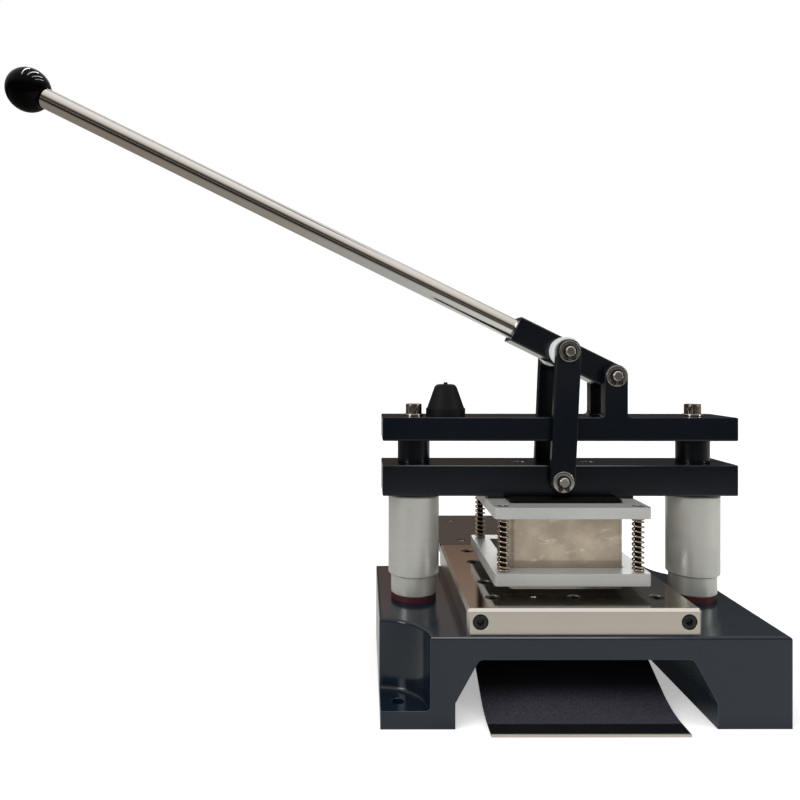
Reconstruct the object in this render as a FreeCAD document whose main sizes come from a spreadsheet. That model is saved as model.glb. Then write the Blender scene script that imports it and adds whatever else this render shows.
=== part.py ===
import FreeCAD, Part
import math
import os
import re

import Sketcher

# Hand-lever press that cuts plastic cards out of a sheet.
# Millimetres. X to the right, Y away from the operator, Z up.
# The origin is on the floor, midway between the two bolt holes in the feet.
# The lever turns on two lugs of the top beam. It pushes two links and the press beam down along
# two guide posts, and the punch under that beam goes through a sprung stripper plate into a die.

# Driving dimensions, one named value each, grouped by the piece that carries them.
SIZES = {
    # base casting
    "base_width": 286,
    "base_depth": 170,
    "base_height": 63.7,
    "deck_thickness": 15.7,
    "arch_floor_half_width": 91,
    "arch_ceiling_half_width": 74.3,
    "arch_wall_height": 18,
    "arch_ceiling_radius": 5,
    "base_edge_radius": 2,
    "notch_radius": 34.5,
    "notch_root_radius": 3,
    "foot_pad_height": 12.5,
    "foot_hole_diameter": 9,
    "foot_hole_side_inset": 13,
    "foot_hole_end_inset": 14.5,
    # bed plate with its screws and dowels
    "bed_width": 165,
    "bed_length": 173,
    "bed_thickness": 18.3,
    "bed_setback": 3.5,
    "bed_bevel": 2,
    "bed_screw_side": 60,
    "bed_screw_end_inset": 24,
    "bed_screw_inner_inset": 59,
    "bed_screw_grip": 12,
    "front_screw_side": 73,
    "front_screw_length": 20,
    "dowel_side": 30,
    "dowel_diameter": 4,
    "dowel_grip": 8,
    # card, die and drop window
    "card_width": 85.6,
    "card_depth": 54,
    "card_corner_radius": 3.2,
    "die_width": 106,
    "die_depth": 78,
    "die_thickness": 12,
    "die_clearance": 0.3,
    "drop_relief": 1,
    # rear table and its brackets
    "table_length": 123.5,
    "table_thickness": 8,
    "table_edge_radius": 0.8,
    "table_screw_front": 13,
    "table_screw_rear": 96,
    "bracket_width": 24,
    "bracket_wall": 4,
    "bracket_reach": 105,
    "bracket_nose": 9,
    "bracket_gap": 0.4,
    "bracket_screw_spread": 8,
    "bracket_screw_grip": 12,
    # card chute
    "chute_width": 136,
    "chute_sheet": 1.6,
    "chute_front_reach": 9.5,
    "chute_floor_gap": 0.3,
    "chute_lip": 29.5,
    "chute_slope": 26,
    "chute_bend_radius": 70,
    "chute_flange": 22,
    "chute_screw_side": 50,
    "edge_strip": 1.2,
    # press axis and columns
    "press_back": 81.5,
    "column_spacing": 228,
    "post_diameter": 20,
    "post_seat": 38,
    "post_chamfer": 1,
    "post_thread_depth": 24,
    "gasket_diameter": 36.5,
    "gasket_height": 4,
    "collar_overlap": 6.5,
    "housing_diameter": 41,
    "housing_gap": 15.8,
    "housing_chamfer": 1,
    "skirt_clearance": 0.5,
    "skirt_depth": 46.5,
    "bush_diameter": 28,
    "bush_engagement": 18,
    "return_spring_diameter": 29,
    "return_spring_wire": 2.6,
    "return_spring_turns": 5,
    "boss_diameter": 39,
    "boss_height": 1.6,
    "stop_diameter": 26,
    "stop_gap": 0.3,
    "fit_gap": 0.05,
    "running_gap": 0.1,
    # beams
    "beam_length": 280,
    "beam_depth": 44,
    "beam_edge_radius": 1.2,
    "beam_gap": 18.8,
    "top_beam_height": 18.5,
    "press_beam_height": 24.4,
    "lug_width": 18,
    "lug_thickness": 9,
    "lug_height": 32.7,
    "lug_root_radius": 3,
    # stripper, holder and punch
    "frame_size": 116,
    "frame_back": 3,
    "frame_corner_radius": 3,
    "frame_front_strip": 16,
    "frame_rear_strip": 13.5,
    "stripper_gap": 7.1,
    "stripper_thickness": 9.2,
    "holder_thickness": 8.5,
    "shim_thickness": 2.1,
    "shim_border": 0.6,
    "shim_screw_spread": 10,
    "punch_forward": 11.6,
    "punch_recess": 1.9,
    "punch_gap": 0.4,
    "punch_screw_side": 28,
    "punch_screw_grip": 18,
    "holder_screw_grip": 10,
    # stripper bolts and springs
    "spring_inset": 7.5,
    "spring_length": 40.3,
    "spring_diameter": 9.2,
    "spring_wire": 1.4,
    "spring_turns": 10,
    "spring_seat_gap": 0.05,
    "stripper_bolt_diameter": 5,
    "stripper_bolt_head": 8,
    "stripper_bolt_head_height": 3.2,
    "stripper_bolt_grip": 7,
    "stripper_bolt_gap": 0.4,
    "stripper_bolt_socket": 3,
    "sliding_gap": 0.3,
    # lever, rod and knob
    "lever_angle": 26.2,
    "pivot_side": 43.7,
    "lever_arm": 43.6,
    "lever_block_height": 21,
    "lever_block_reach": 85.5,
    "lever_block_radius": 1.5,
    "lever_side_gap": 0.5,
    "rod_diameter": 16.4,
    "rod_insertion": 25,
    "rod_chamfer": 0.8,
    "knob_distance": 526,
    "knob_diameter": 35,
    "knob_flat": 3,
    "knob_insert_diameter": 14,
    "knob_insert_length": 13,
    "rod_stud_diameter": 10,
    "rod_stud_length": 11,
    # links, pins, washers and clips
    "link_width": 19.4,
    "link_thickness": 6,
    "link_gap": 0.6,
    "link_edge_radius": 0.8,
    "link_eye_gap": 0.9,
    "pin_diameter": 8,
    "pin_chamfer": 0.8,
    "pin_end": 2,
    "spacer_diameter": 23,
    "washer_diameter": 16.6,
    "washer_thickness": 1.5,
    "clip_thickness": 1,
    "clip_diameter": 10.6,
    "clip_groove_depth": 0.4,
    "clip_opening": 2.4,
    "clip_ear_diameter": 3.2,
    "clip_ear_hole": 1.3,
    # rubber stop for the lever
    "bumper_side": 88,
    "bumper_diameter": 32,
    "bumper_collar": 6,
    "bumper_step": 0.8,
    "bumper_height": 25.6,
    "bumper_top_diameter": 16.5,
    "bumper_crown_radius": 4.5,
    "bumper_nub_diameter": 3.2,
    "bumper_nub_height": 1.5,
    "bumper_screw_length": 25,
    # cap screws, by thread size
    "large_screw": 8,
    "large_head": 13,
    "large_head_height": 8,
    "large_socket": 6,
    "large_washer": 16,
    "large_washer_thickness": 1.6,
    "middle_screw": 6,
    "middle_head": 10,
    "middle_head_height": 6,
    "middle_socket": 5,
    "small_screw": 5,
    "small_head": 8.5,
    "small_head_height": 5,
    "small_socket": 4,
    "tiny_screw": 4,
    "tiny_head": 7,
    "tiny_head_height": 4,
    "tiny_socket": 3,
    "head_gap": 0.5,
    "head_sink": 0.4,
}

# Places and sizes that follow from the driving dimensions.
PLACES = {
    "deck_bottom": "base_height - deck_thickness",
    "bed_front": "bed_setback - base_depth / 2",
    "bed_rear": "bed_front + bed_length",
    "bed_top": "base_height + bed_thickness",
    "table_bottom": "bed_top - table_thickness",
    "press_y": "bed_front + press_back",
    "punch_y": "press_y - punch_forward",
    "column_x": "column_spacing / 2",
    "stripper_bottom": "bed_top + stripper_gap",
    "stripper_top": "stripper_bottom + stripper_thickness",
    "holder_bottom": "stripper_top + spring_length",
    "holder_top": "holder_bottom + holder_thickness",
    "bolt_seat": "holder_top - head_sink - stripper_bolt_head_height",
    "press_bottom": "holder_top + shim_thickness",
    "press_top": "press_bottom + press_beam_height",
    "top_bottom": "press_top + beam_gap",
    "top_top": "top_bottom + top_beam_height",
    "punch_bottom": "stripper_bottom + punch_recess",
    "frame_y": "press_y + frame_back",
    "frame_front": "frame_y - frame_size / 2",
    "frame_rear": "frame_y + frame_size / 2",
    "window_half_width": "card_width / 2 + punch_gap",
    "window_front": "frame_front + frame_front_strip",
    "window_rear": "frame_rear - frame_rear_strip",
    "gasket_top": "base_height + gasket_height",
    "housing_bottom": "gasket_top + housing_gap",
    "housing_top": "press_bottom - boss_height",
    "collar_top": "housing_bottom + collar_overlap",
    "skirt_top": "housing_bottom + skirt_depth",
    "bush_top": "press_bottom + bush_engagement",
    "post_bore": "post_diameter + 2 * fit_gap",
    "chute_front": "-base_depth / 2 - chute_front_reach",
    "chute_bend": "chute_front + chute_lip",
    "chute_rise": "deck_bottom - chute_sheet - chute_floor_gap",
    "chute_top_bend": "chute_bend + chute_rise / tan(chute_slope)",
    "chute_shift": "chute_sheet * tan(chute_slope / 2)",
    "chute_rear": "chute_top_bend + chute_flange",
    "pivot_z": "top_top + lug_height",
    "crank_x": "pivot_side - lever_arm * cos(lever_angle)",
    "crank_z": "pivot_z + lever_arm * sin(lever_angle)",
    "lower_pivot_z": "press_bottom + press_beam_height / 2",
    "link_rise": "crank_z - lower_pivot_z",
    "link_length": "sqrt(crank_x ^ 2 + link_rise ^ 2)",
    "link_lean": "atan(crank_x / link_rise)",
    "lever_turn": "180 + lever_angle",
    "link_inner": "beam_depth / 2 + link_gap",
    "link_outer": "link_inner + link_thickness",
    "lever_block_half": "beam_depth / 2 - lug_thickness - lever_side_gap",
    "rod_end": "knob_distance - knob_diameter / 2 + knob_flat",
    "spring_x": "frame_size / 2 - spring_inset",
    "shim_screw_x": "(window_half_width + frame_size / 2) / 2",
}

# Two lengths count as one below this difference.
SAME_LENGTH = 1e-6
# A helix is drawn in spans of two arcs each, and measured on points.
SPANS_PER_TURN = 4
SAMPLES_PER_TURN = 24

DOC = FreeCAD.newDocument("card_cutter")


def make_sheet():
    """Put the driving dimensions into the document's sheet."""
    sheet = DOC.addObject("Spreadsheet::Sheet", "Sizes")
    for row, (alias, value) in enumerate(SIZES.items(), start=1):
        sheet.set(f"A{row}", alias)
        sheet.set(f"B{row}", str(value))
        sheet.setAlias(f"B{row}", alias)
    DOC.recompute()
    return sheet


SHEET = make_sheet()


def formula(text):
    """Write a sum of named sizes and places as an expression on the sheet."""

    def written_out(match):
        word = match.group()
        if word in SIZES:
            return "Sizes." + word
        if word in PLACES:
            return "(" + formula(PLACES[word]) + ")"
        return word

    return re.sub(r"[a-z_]+", written_out, text)


def numbers(**wanted):
    """Work out the named formulas and give them back as plain numbers."""
    holder = DOC.addObject("App::VarSet", "Worked_out")
    for name, text in wanted.items():
        holder.addProperty("App::PropertyFloat", name)
        holder.setExpression(name, formula(text))
    DOC.recompute()
    return {name: getattr(holder, name) for name in wanted}


def circle(x, y, diameter):
    """Outline of one circle."""
    return ("circle", x, y, diameter)


def polygon(*points):
    """Outline of straight edges through the points."""
    return ("polygon", points)


def rectangle(x_low, y_low, x_high, y_high):
    """Outline of a rectangle from its low corner to its high corner."""
    return polygon((x_low, y_low), (x_high, y_low), (x_high, y_high), (x_low, y_high))


def hexagon(x, y, across):
    """Outline of a hexagon with the given distance across its flats."""
    corner = f"({across}) / sqrt(3)"
    flat = f"({across}) / 2"
    return polygon(
        (f"{x} + {corner}", y),
        (f"{x} + {corner} / 2", f"{y} + {flat}"),
        (f"{x} - {corner} / 2", f"{y} + {flat}"),
        (f"{x} - {corner}", y),
        (f"{x} - {corner} / 2", f"{y} - {flat}"),
        (f"{x} + {corner} / 2", f"{y} - {flat}"),
    )


class Piece:
    """One body of the document, made of sketches that are padded, cut or turned."""

    def __init__(self, label, x="0", y="0", z="0", turn="0"):
        self.body = DOC.addObject("PartDesign::Body", label)
        self.body.Label = label
        spot = f"create(<<vector>>; {formula(x)}; {formula(y)}; {formula(z)})"
        about = f"create(<<rotation>>; create(<<vector>>; 0; 1; 0); {formula(turn)})"
        self.body.setExpression("Placement", f"create(<<placement>>; {spot}; {about})")

    def origin_part(self, role):
        """The origin plane or axis with this role."""
        found = [item for item in self.body.Origin.OriginFeatures if item.Role == role]
        return found[0]

    def sketch(self, plane, start, outlines):
        """Draw the outlines on an origin plane that is moved to start along its own axis."""
        made = self.body.newObject("Sketcher::SketchObject", self.body.Name + "_sketch")
        made.AttachmentSupport = [(self.origin_part(plane + "_Plane"), "")]
        made.MapMode = "FlatFace"
        sign = "-" if plane == "XZ" else ""
        made.setExpression("AttachmentOffset.Base.z", f"{sign}({formula(start)})")
        for outline in outlines:
            if outline[0] == "circle":
                self.draw_circle(made, *outline[1:])
            else:
                self.draw_polygon(made, outline[1])
        return made

    def hold(self, sketch, geometry, point, x, y):
        """Hold one point of a sketch at x, y."""
        for kind, text in (("DistanceX", x), ("DistanceY", y)):
            index = sketch.addConstraint(Sketcher.Constraint(kind, geometry, point, 0.0))
            sketch.setExpression(f"Constraints[{index}]", formula(text))

    def draw_circle(self, sketch, x, y, diameter):
        """Add one circle, held by its centre and its diameter."""
        unit = Part.Circle(FreeCAD.Vector(), FreeCAD.Vector(0, 0, 1), 1)
        drawn = sketch.addGeometry(unit, False)
        self.hold(sketch, drawn, 3, x, y)
        index = sketch.addConstraint(Sketcher.Constraint("Diameter", drawn, 1.0))
        sketch.setExpression(f"Constraints[{index}]", formula(diameter))

    def draw_polygon(self, sketch, points):
        """Add a closed chain of lines, each corner held at its own place."""
        count = len(points)
        corners = []
        for step in range(count):
            angle = 2 * math.pi * step / count
            corners.append(FreeCAD.Vector(math.cos(angle), math.sin(angle), 0))
        lines = []
        for step in range(count):
            line = Part.LineSegment(corners[step], corners[(step + 1) % count])
            lines.append(sketch.addGeometry(line, False))
        for step, (x, y) in enumerate(points):
            following = lines[(step + 1) % count]
            sketch.addConstraint(Sketcher.Constraint("Coincident", lines[step], 2, following, 1))
            self.hold(sketch, lines[step], 1, x, y)

    def pad(self, plane, start, length, *outlines):
        """Raise the outlines: up from XY, to the right from YZ, towards the operator from XZ."""
        made = self.body.newObject("PartDesign::Pad", self.body.Name + "_pad")
        made.Profile = self.sketch(plane, start, outlines)
        made.setExpression("Length", formula(length))
        DOC.recompute()
        return self

    def pocket(self, plane, start, length, *outlines):
        """Cut the outlines: down from XY, to the left from YZ, away from the operator from XZ."""
        DOC.recompute()
        before = self.body.Shape.Volume
        made = self.body.newObject("PartDesign::Pocket", self.body.Name + "_pocket")
        made.Profile = self.sketch(plane, start, outlines)
        made.setExpression("Length", formula(length))
        DOC.recompute()
        if self.body.Shape.Volume >= before:
            raise RuntimeError(f"{self.body.Label}: a pocket cut nothing")
        return self

    def turned(self, plane, axis, *points):
        """Turn a closed outline about one of the body's own axes."""
        made = self.body.newObject("PartDesign::Revolution", self.body.Name + "_turned")
        made.Profile = self.sketch(plane, "0", [polygon(*points)])
        made.ReferenceAxis = (self.origin_part(axis + "_Axis"), [""])
        made.Angle = 360
        DOC.recompute()
        return self

    def soften(self, kind, size, choose):
        """Round or bevel the edges that choose picks out of the present shape."""
        tip = self.body.Tip
        bounds = tip.Shape.BoundBox
        names = []
        for index, edge in enumerate(tip.Shape.Edges, start=1):
            if choose(edge, bounds):
                names.append(f"Edge{index}")
        if not names:
            raise RuntimeError(f"{self.body.Label}: no edge to soften")
        made = self.body.newObject("PartDesign::" + kind, self.body.Name + "_" + kind.lower())
        made.Base = (tip, names)
        made.setExpression("Radius" if kind == "Fillet" else "Size", formula(size))
        DOC.recompute()
        return self

    def fillet(self, radius, choose):
        """Round the chosen edges."""
        return self.soften("Fillet", radius, choose)

    def chamfer(self, size, choose):
        """Bevel the chosen edges."""
        return self.soften("Chamfer", size, choose)


def near(one, other):
    """Whether two numbers are the same length."""
    return abs(one - other) < SAME_LENGTH


def runs_along(edge, axis):
    """Whether an edge is straight along one axis."""
    box = edge.BoundBox
    spans = {"X": box.XLength, "Y": box.YLength, "Z": box.ZLength}
    long = spans.pop(axis)
    return long > SAME_LENGTH and all(span < SAME_LENGTH for span in spans.values())


def upright(edge, bounds):
    """Edges straight up."""
    return runs_along(edge, "Z")


def top_rim(edge, bounds):
    """Edges in the topmost plane."""
    return near(edge.BoundBox.ZMin, bounds.ZMax)


def long_edges(edge, bounds):
    """Edges straight along X."""
    return runs_along(edge, "X")


def face_rims(edge, bounds):
    """Edges in the nearest and the furthest plane."""
    box = edge.BoundBox
    return near(box.YMax, bounds.YMin) or near(box.YMin, bounds.YMax)


def every_edge(edge, bounds):
    """All edges."""
    return True


def screws(label, plane, seat, spots, kind, grip, shank_first=False):
    """A group of socket head screws that stand on the seat, their shanks as long as the grip.

    The heads point along the plane's own direction, up from XY or towards the operator from XZ.
    With shank_first the shanks point that way and the heads the other.
    """
    head = f"{kind}_head"
    height = f"{kind}_head_height"
    forward, back = ("-", "+") if plane == "XZ" else ("+", "-")
    heads = [circle(x, y, head) for x, y in spots]
    shanks = [circle(x, y, f"{kind}_screw") for x, y in spots]
    sockets = [hexagon(x, y, f"{kind}_socket") for x, y in spots]
    group = Piece(label)
    if shank_first:
        group.pad(plane, f"{seat} {back} {height}", height, *heads)
        group.pad(plane, seat, grip, *shanks)
        group.pocket(plane, f"{seat} {back} {height} / 2", f"{height} / 2", *sockets)
    else:
        group.pad(plane, seat, height, *heads)
        group.pad(plane, f"{seat} {back} ({grip})", grip, *shanks)
        group.pocket(plane, f"{seat} {forward} {height}", f"{height} / 2", *sockets)
    return group


def screw_holes(spots, kind):
    """Outlines of the holes that a group of screws is threaded into."""
    return [circle(x, y, f"{kind}_screw + 2 * fit_gap") for x, y in spots]


def head_holes(spots, kind):
    """Outlines of the counterbores for a group of screw heads."""
    return [circle(x, y, f"{kind}_head + 2 * head_gap") for x, y in spots]


SIDES = (("left", "-"), ("right", ""))

FOOT_HOLES = [
    ("foot_hole_side_inset - base_width / 2", "foot_hole_end_inset - base_depth / 2"),
    ("base_width / 2 - foot_hole_side_inset", "base_depth / 2 - foot_hole_end_inset"),
]
COLUMNS = [(f"{sign}column_x", "press_y") for side, sign in SIDES]
BED_ROWS = [
    "bed_front + bed_screw_end_inset",
    "bed_front + bed_screw_inner_inset",
    "bed_rear - bed_screw_inner_inset",
    "bed_rear - bed_screw_end_inset",
]
BED_SCREWS = [(f"{sign}bed_screw_side", row) for side, sign in SIDES for row in BED_ROWS]
BED_SCREWS.append(("0", BED_ROWS[0]))
DOWELS = [("-dowel_side", BED_ROWS[0]), ("dowel_side", BED_ROWS[-1])]
FRONT_SCREWS = [
    (f"{sign}front_screw_side", "base_height + bed_thickness / 2") for side, sign in SIDES
]
CHUTE_SCREWS = [
    (x, "chute_top_bend + chute_flange / 2") for x in ("-chute_screw_side", "0", "chute_screw_side")
]
BRACKET_SCREWS = [
    (f"{sign}bed_screw_side {way} bracket_screw_spread / 2", "base_height - deck_thickness / 2")
    for side, sign in SIDES
    for way in ("-", "+")
]
TABLE_SCREWS = [
    (f"{sign}bed_screw_side", f"bed_rear + {row}")
    for side, sign in SIDES
    for row in ("table_screw_front", "table_screw_rear")
]
PUNCH_SCREWS = [(f"{sign}punch_screw_side", "press_y") for side, sign in SIDES]
HOLDER_SCREWS = [
    (f"{sign}shim_screw_x", f"press_y {way} shim_screw_spread")
    for side, sign in SIDES
    for way in ("-", "+")
]
BUMPER_SCREW = [("-bumper_side", "press_y")]
SPRINGS = [
    (f"{row}_{side}", f"{sign}spring_x", y)
    for row, y in (("front", "frame_front + spring_inset"), ("rear", "frame_rear - spring_inset"))
    for side, sign in SIDES
]
STRIPPER_BOLTS = [(x, y) for name, x, y in SPRINGS]


def base_casting():
    """Bridge-shaped casting with two feet, a flat deck and two notches with bolt-down pads."""
    piece = Piece("base_casting")
    half = "base_width / 2"
    piece.pad(
        "XZ",
        "base_depth / 2",
        "base_depth",
        polygon(
            (f"-{half}", "0"),
            ("-arch_floor_half_width", "0"),
            ("-arch_floor_half_width", "arch_wall_height"),
            ("-arch_ceiling_half_width", "deck_bottom"),
            ("arch_ceiling_half_width", "deck_bottom"),
            ("arch_floor_half_width", "arch_wall_height"),
            ("arch_floor_half_width", "0"),
            (half, "0"),
            (half, "base_height"),
            (f"-{half}", "base_height"),
        ),
    )
    ceiling = numbers(height="deck_bottom")["height"]
    pad_height = numbers(height="foot_pad_height")["height"]

    def ceiling_corner(edge, bounds):
        return runs_along(edge, "Y") and near(edge.BoundBox.ZMin, ceiling)

    def notch_root(edge, bounds):
        on_pad = near(edge.BoundBox.ZMin, pad_height) and near(edge.BoundBox.ZMax, pad_height)
        return on_pad and edge.Curve.TypeId == "Part::GeomCircle"

    piece.fillet("arch_ceiling_radius", ceiling_corner)
    piece.pocket(
        "XY",
        "base_height",
        "base_height - foot_pad_height",
        circle(f"-{half}", "-base_depth / 2", "2 * notch_radius"),
        circle(half, "base_depth / 2", "2 * notch_radius"),
    )
    piece.fillet("notch_root_radius", notch_root)
    piece.fillet("base_edge_radius", top_rim)
    foot_holes = [circle(x, y, "foot_hole_diameter") for x, y in FOOT_HOLES]
    piece.pocket("XY", "foot_pad_height", "foot_pad_height", *foot_holes)
    post_bores = [circle(x, y, "post_bore") for x, y in COLUMNS]
    piece.pocket("XY", "base_height", "post_seat", *post_bores)
    floor = "base_height - post_seat"
    piece.pocket("XY", floor, floor, *screw_holes(COLUMNS, "large"))
    sunk = "large_head_height + head_sink"
    piece.pocket("XY", sunk, sunk, *head_holes(COLUMNS, "large"))
    piece.pocket("XY", "base_height", "bed_screw_grip", *screw_holes(BED_SCREWS, "middle"))
    piece.pocket("XY", "base_height", "dowel_grip", *dowel_outlines("fit_gap"))
    piece.pocket("XY", "base_height", "deck_thickness", drop_window())
    piece.pocket("XY", "base_height", "deck_thickness", *screw_holes(CHUTE_SCREWS, "small"))
    piece.pocket(
        "XZ",
        "base_depth / 2 - bracket_screw_grip",
        "bracket_screw_grip",
        *screw_holes(BRACKET_SCREWS, "tiny"),
    )
    return piece


def drop_window():
    """Outline of the window that the cut card falls through."""
    return rectangle(
        "-card_width / 2 - drop_relief",
        "punch_y - card_depth / 2 - drop_relief",
        "card_width / 2 + drop_relief",
        "punch_y + card_depth / 2 + drop_relief",
    )


def dowel_outlines(gap):
    """Outlines of the dowels, each widened by a gap all round."""
    return [circle(x, y, f"dowel_diameter + 2 * {gap}") for x, y in DOWELS]


def bed_plate():
    """Ground steel plate on the deck, with a pocket for the die and screws from above."""
    piece = Piece("bed_plate")
    outline = rectangle("-bed_width / 2", "bed_front", "bed_width / 2", "bed_rear")
    piece.pad("XY", "base_height", "bed_thickness", outline)
    piece.chamfer("bed_bevel", bevelled)
    piece.pocket("XY", "bed_top", "die_thickness", die_outline("fit_gap"))
    piece.pocket("XY", "bed_top", "bed_thickness", drop_window())
    head_depth = "middle_head_height + head_sink"
    piece.pocket("XY", "bed_top", head_depth, *head_holes(BED_SCREWS, "middle"))
    piece.pocket("XY", "bed_top", "bed_thickness", *screw_holes(BED_SCREWS, "middle"))
    piece.pocket("XY", "bed_top", "bed_thickness", *dowel_outlines("fit_gap"))
    piece.pocket("XZ", "bed_front", head_depth, *head_holes(FRONT_SCREWS, "middle"))
    front_depth = f"front_screw_length + {head_depth}"
    piece.pocket("XZ", "bed_front", front_depth, *screw_holes(FRONT_SCREWS, "middle"))


def bevelled(edge, bounds):
    """Top rim and upright corners."""
    return top_rim(edge, bounds) or upright(edge, bounds)


def die_outline(gap):
    """Outline of the die block, widened by a gap all round."""
    return rectangle(
        f"-die_width / 2 - {gap}",
        f"punch_y - die_depth / 2 - {gap}",
        f"die_width / 2 + {gap}",
        f"punch_y + die_depth / 2 + {gap}",
    )


def die_insert():
    """Hardened die block with a card-shaped opening that the punch enters."""
    piece = Piece("die_insert")
    piece.pad("XY", "bed_top - die_thickness", "die_thickness", die_outline("0"))
    opening = rectangle(
        "-card_width / 2 - die_clearance",
        "punch_y - card_depth / 2 - die_clearance",
        "card_width / 2 + die_clearance",
        "punch_y + card_depth / 2 + die_clearance",
    )
    piece.pocket("XY", "bed_top", "die_thickness", opening)

    def opening_corner(edge, bounds):
        box = edge.BoundBox
        return upright(edge, bounds) and box.XMax < bounds.XMax and box.XMin > bounds.XMin

    piece.fillet("card_corner_radius + die_clearance", opening_corner)


def bed_fasteners():
    """Screws and dowels of the bed plate."""
    seat = "bed_top - head_sink - middle_head_height"
    grip = f"{seat} - base_height + bed_screw_grip"
    screws("bed_screws", "XY", seat, BED_SCREWS, "middle", grip)
    front_seat = "bed_front + head_sink + middle_head_height"
    screws("bed_front_screws", "XZ", front_seat, FRONT_SCREWS, "middle", "front_screw_length")
    dowels = Piece("bed_dowels")
    length = "bed_thickness - head_sink + dowel_grip"
    dowels.pad("XY", "base_height - dowel_grip", length, *dowel_outlines("0"))


def rear_table():
    """Board behind the bed plate that carries the sheet, level with its top."""
    piece = Piece("rear_table")
    rear = "bed_rear + table_length"
    outline = rectangle("-bed_width / 2", "bed_rear", "bed_width / 2", rear)
    piece.pad("XY", "table_bottom", "table_thickness", outline)
    piece.fillet("table_edge_radius", top_rim)
    piece.pocket("XY", "bed_top", "tiny_head_height + head_sink", *head_holes(TABLE_SCREWS, "tiny"))
    piece.pocket("XY", "bed_top", "table_thickness", *screw_holes(TABLE_SCREWS, "tiny"))


def table_bracket(side):
    """Gusset bracket between the rear face of the deck and the underside of the table."""
    piece = Piece(f"{side}_table_bracket")
    wide = ("bracket_width", "bed_screw_side - bracket_width / 2")
    web = ("bracket_wall", "bed_screw_side + bracket_width / 2 - bracket_wall")
    rear_face = "base_depth / 2"
    top = "base_height - bracket_gap"
    near_end = "bed_rear + bracket_gap"
    far_end = "bed_rear + bracket_reach"
    foot = rectangle(rear_face, "deck_bottom", f"{rear_face} + bracket_wall", top)
    shelf = rectangle(near_end, "table_bottom - bracket_wall", far_end, "table_bottom")
    gusset = polygon(
        (rear_face, "deck_bottom"),
        (f"{rear_face} + bracket_wall", "deck_bottom"),
        (far_end, "table_bottom - bracket_nose"),
        (far_end, "table_bottom"),
        (near_end, "table_bottom"),
        (near_end, top),
        (rear_face, top),
    )
    for (width, inner), outline in ((web, gusset), (wide, foot), (wide, shelf)):
        start = f"-({inner}) - {width}" if side == "left" else inner
        piece.pad("YZ", start, width, outline)
    sign = dict(SIDES)[side]
    own_screws = [spot for spot in BRACKET_SCREWS if spot[0].startswith("-") == (sign == "-")]
    own_table_screws = [spot for spot in TABLE_SCREWS if spot[0].startswith("-") == (sign == "-")]
    piece.pocket("XZ", rear_face, "bracket_wall", *screw_holes(own_screws, "tiny"))
    piece.pocket("XY", "table_bottom", "bracket_wall", *screw_holes(own_table_screws, "tiny"))


def table_fasteners():
    """Screws of the rear table and of its brackets."""
    seat = "bed_top - head_sink - tiny_head_height"
    grip = f"{seat} - table_bottom + bracket_wall"
    screws("table_screws", "XY", seat, TABLE_SCREWS, "tiny", grip)
    rear_seat = "base_depth / 2 + bracket_wall"
    rear_grip = "bracket_wall + bracket_screw_grip"
    screws("bracket_screws", "XZ", rear_seat, BRACKET_SCREWS, "tiny", rear_grip, shank_first=True)


def chute():
    """Bent sheet that catches the cards under the window and leads them out to the front."""
    piece = Piece("chute")
    ceiling = "deck_bottom"
    sheet_top = "chute_floor_gap + chute_sheet"
    piece.pad(
        "YZ",
        "-chute_width / 2",
        "chute_width",
        polygon(
            ("chute_front", "chute_floor_gap"),
            ("chute_bend", "chute_floor_gap"),
            ("chute_top_bend", f"{ceiling} - chute_sheet"),
            ("chute_rear", f"{ceiling} - chute_sheet"),
            ("chute_rear", ceiling),
            ("chute_top_bend - chute_shift", ceiling),
            ("chute_bend - chute_shift", sheet_top),
            ("chute_front", sheet_top),
        ),
    )
    bend = numbers(under="chute_bend", over="chute_bend - chute_shift", low="chute_floor_gap", high=sheet_top)

    def bend_above(edge, bounds):
        start = edge.Vertexes[0]
        return runs_along(edge, "X") and near(start.Y, bend["over"]) and near(start.Z, bend["high"])

    def bend_below(edge, bounds):
        start = edge.Vertexes[0]
        return runs_along(edge, "X") and near(start.Y, bend["under"]) and near(start.Z, bend["low"])

    piece.fillet("chute_bend_radius", bend_above)
    piece.fillet("chute_bend_radius + chute_sheet", bend_below)
    piece.pocket("XY", ceiling, "chute_sheet", *screw_holes(CHUTE_SCREWS, "small"))
    strip = Piece("chute_edge_strip")
    front = "chute_front - edge_strip"
    outline = rectangle(front, "chute_floor_gap", "chute_front", sheet_top)
    strip.pad("YZ", "-chute_width / 2", "chute_width", outline)
    seat = f"{ceiling} - chute_sheet"
    grip = "chute_sheet + deck_thickness - head_sink"
    screws("chute_screws", "XY", seat, CHUTE_SCREWS, "small", grip, shank_first=True)


def ring(piece, inner, outer, low, high, bevel="0"):
    """Turn a plain ring about the piece's own upright axis, its outer rims bevelled."""
    if bevel == "0":
        corners = [(outer, low), (outer, high)]
    else:
        corners = [
            (f"{outer} - {bevel}", low),
            (outer, f"{low} + {bevel}"),
            (outer, f"{high} - {bevel}"),
            (f"{outer} - {bevel}", high),
        ]
    piece.turned("XZ", "Z", (inner, low), *corners, (inner, high))


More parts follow.
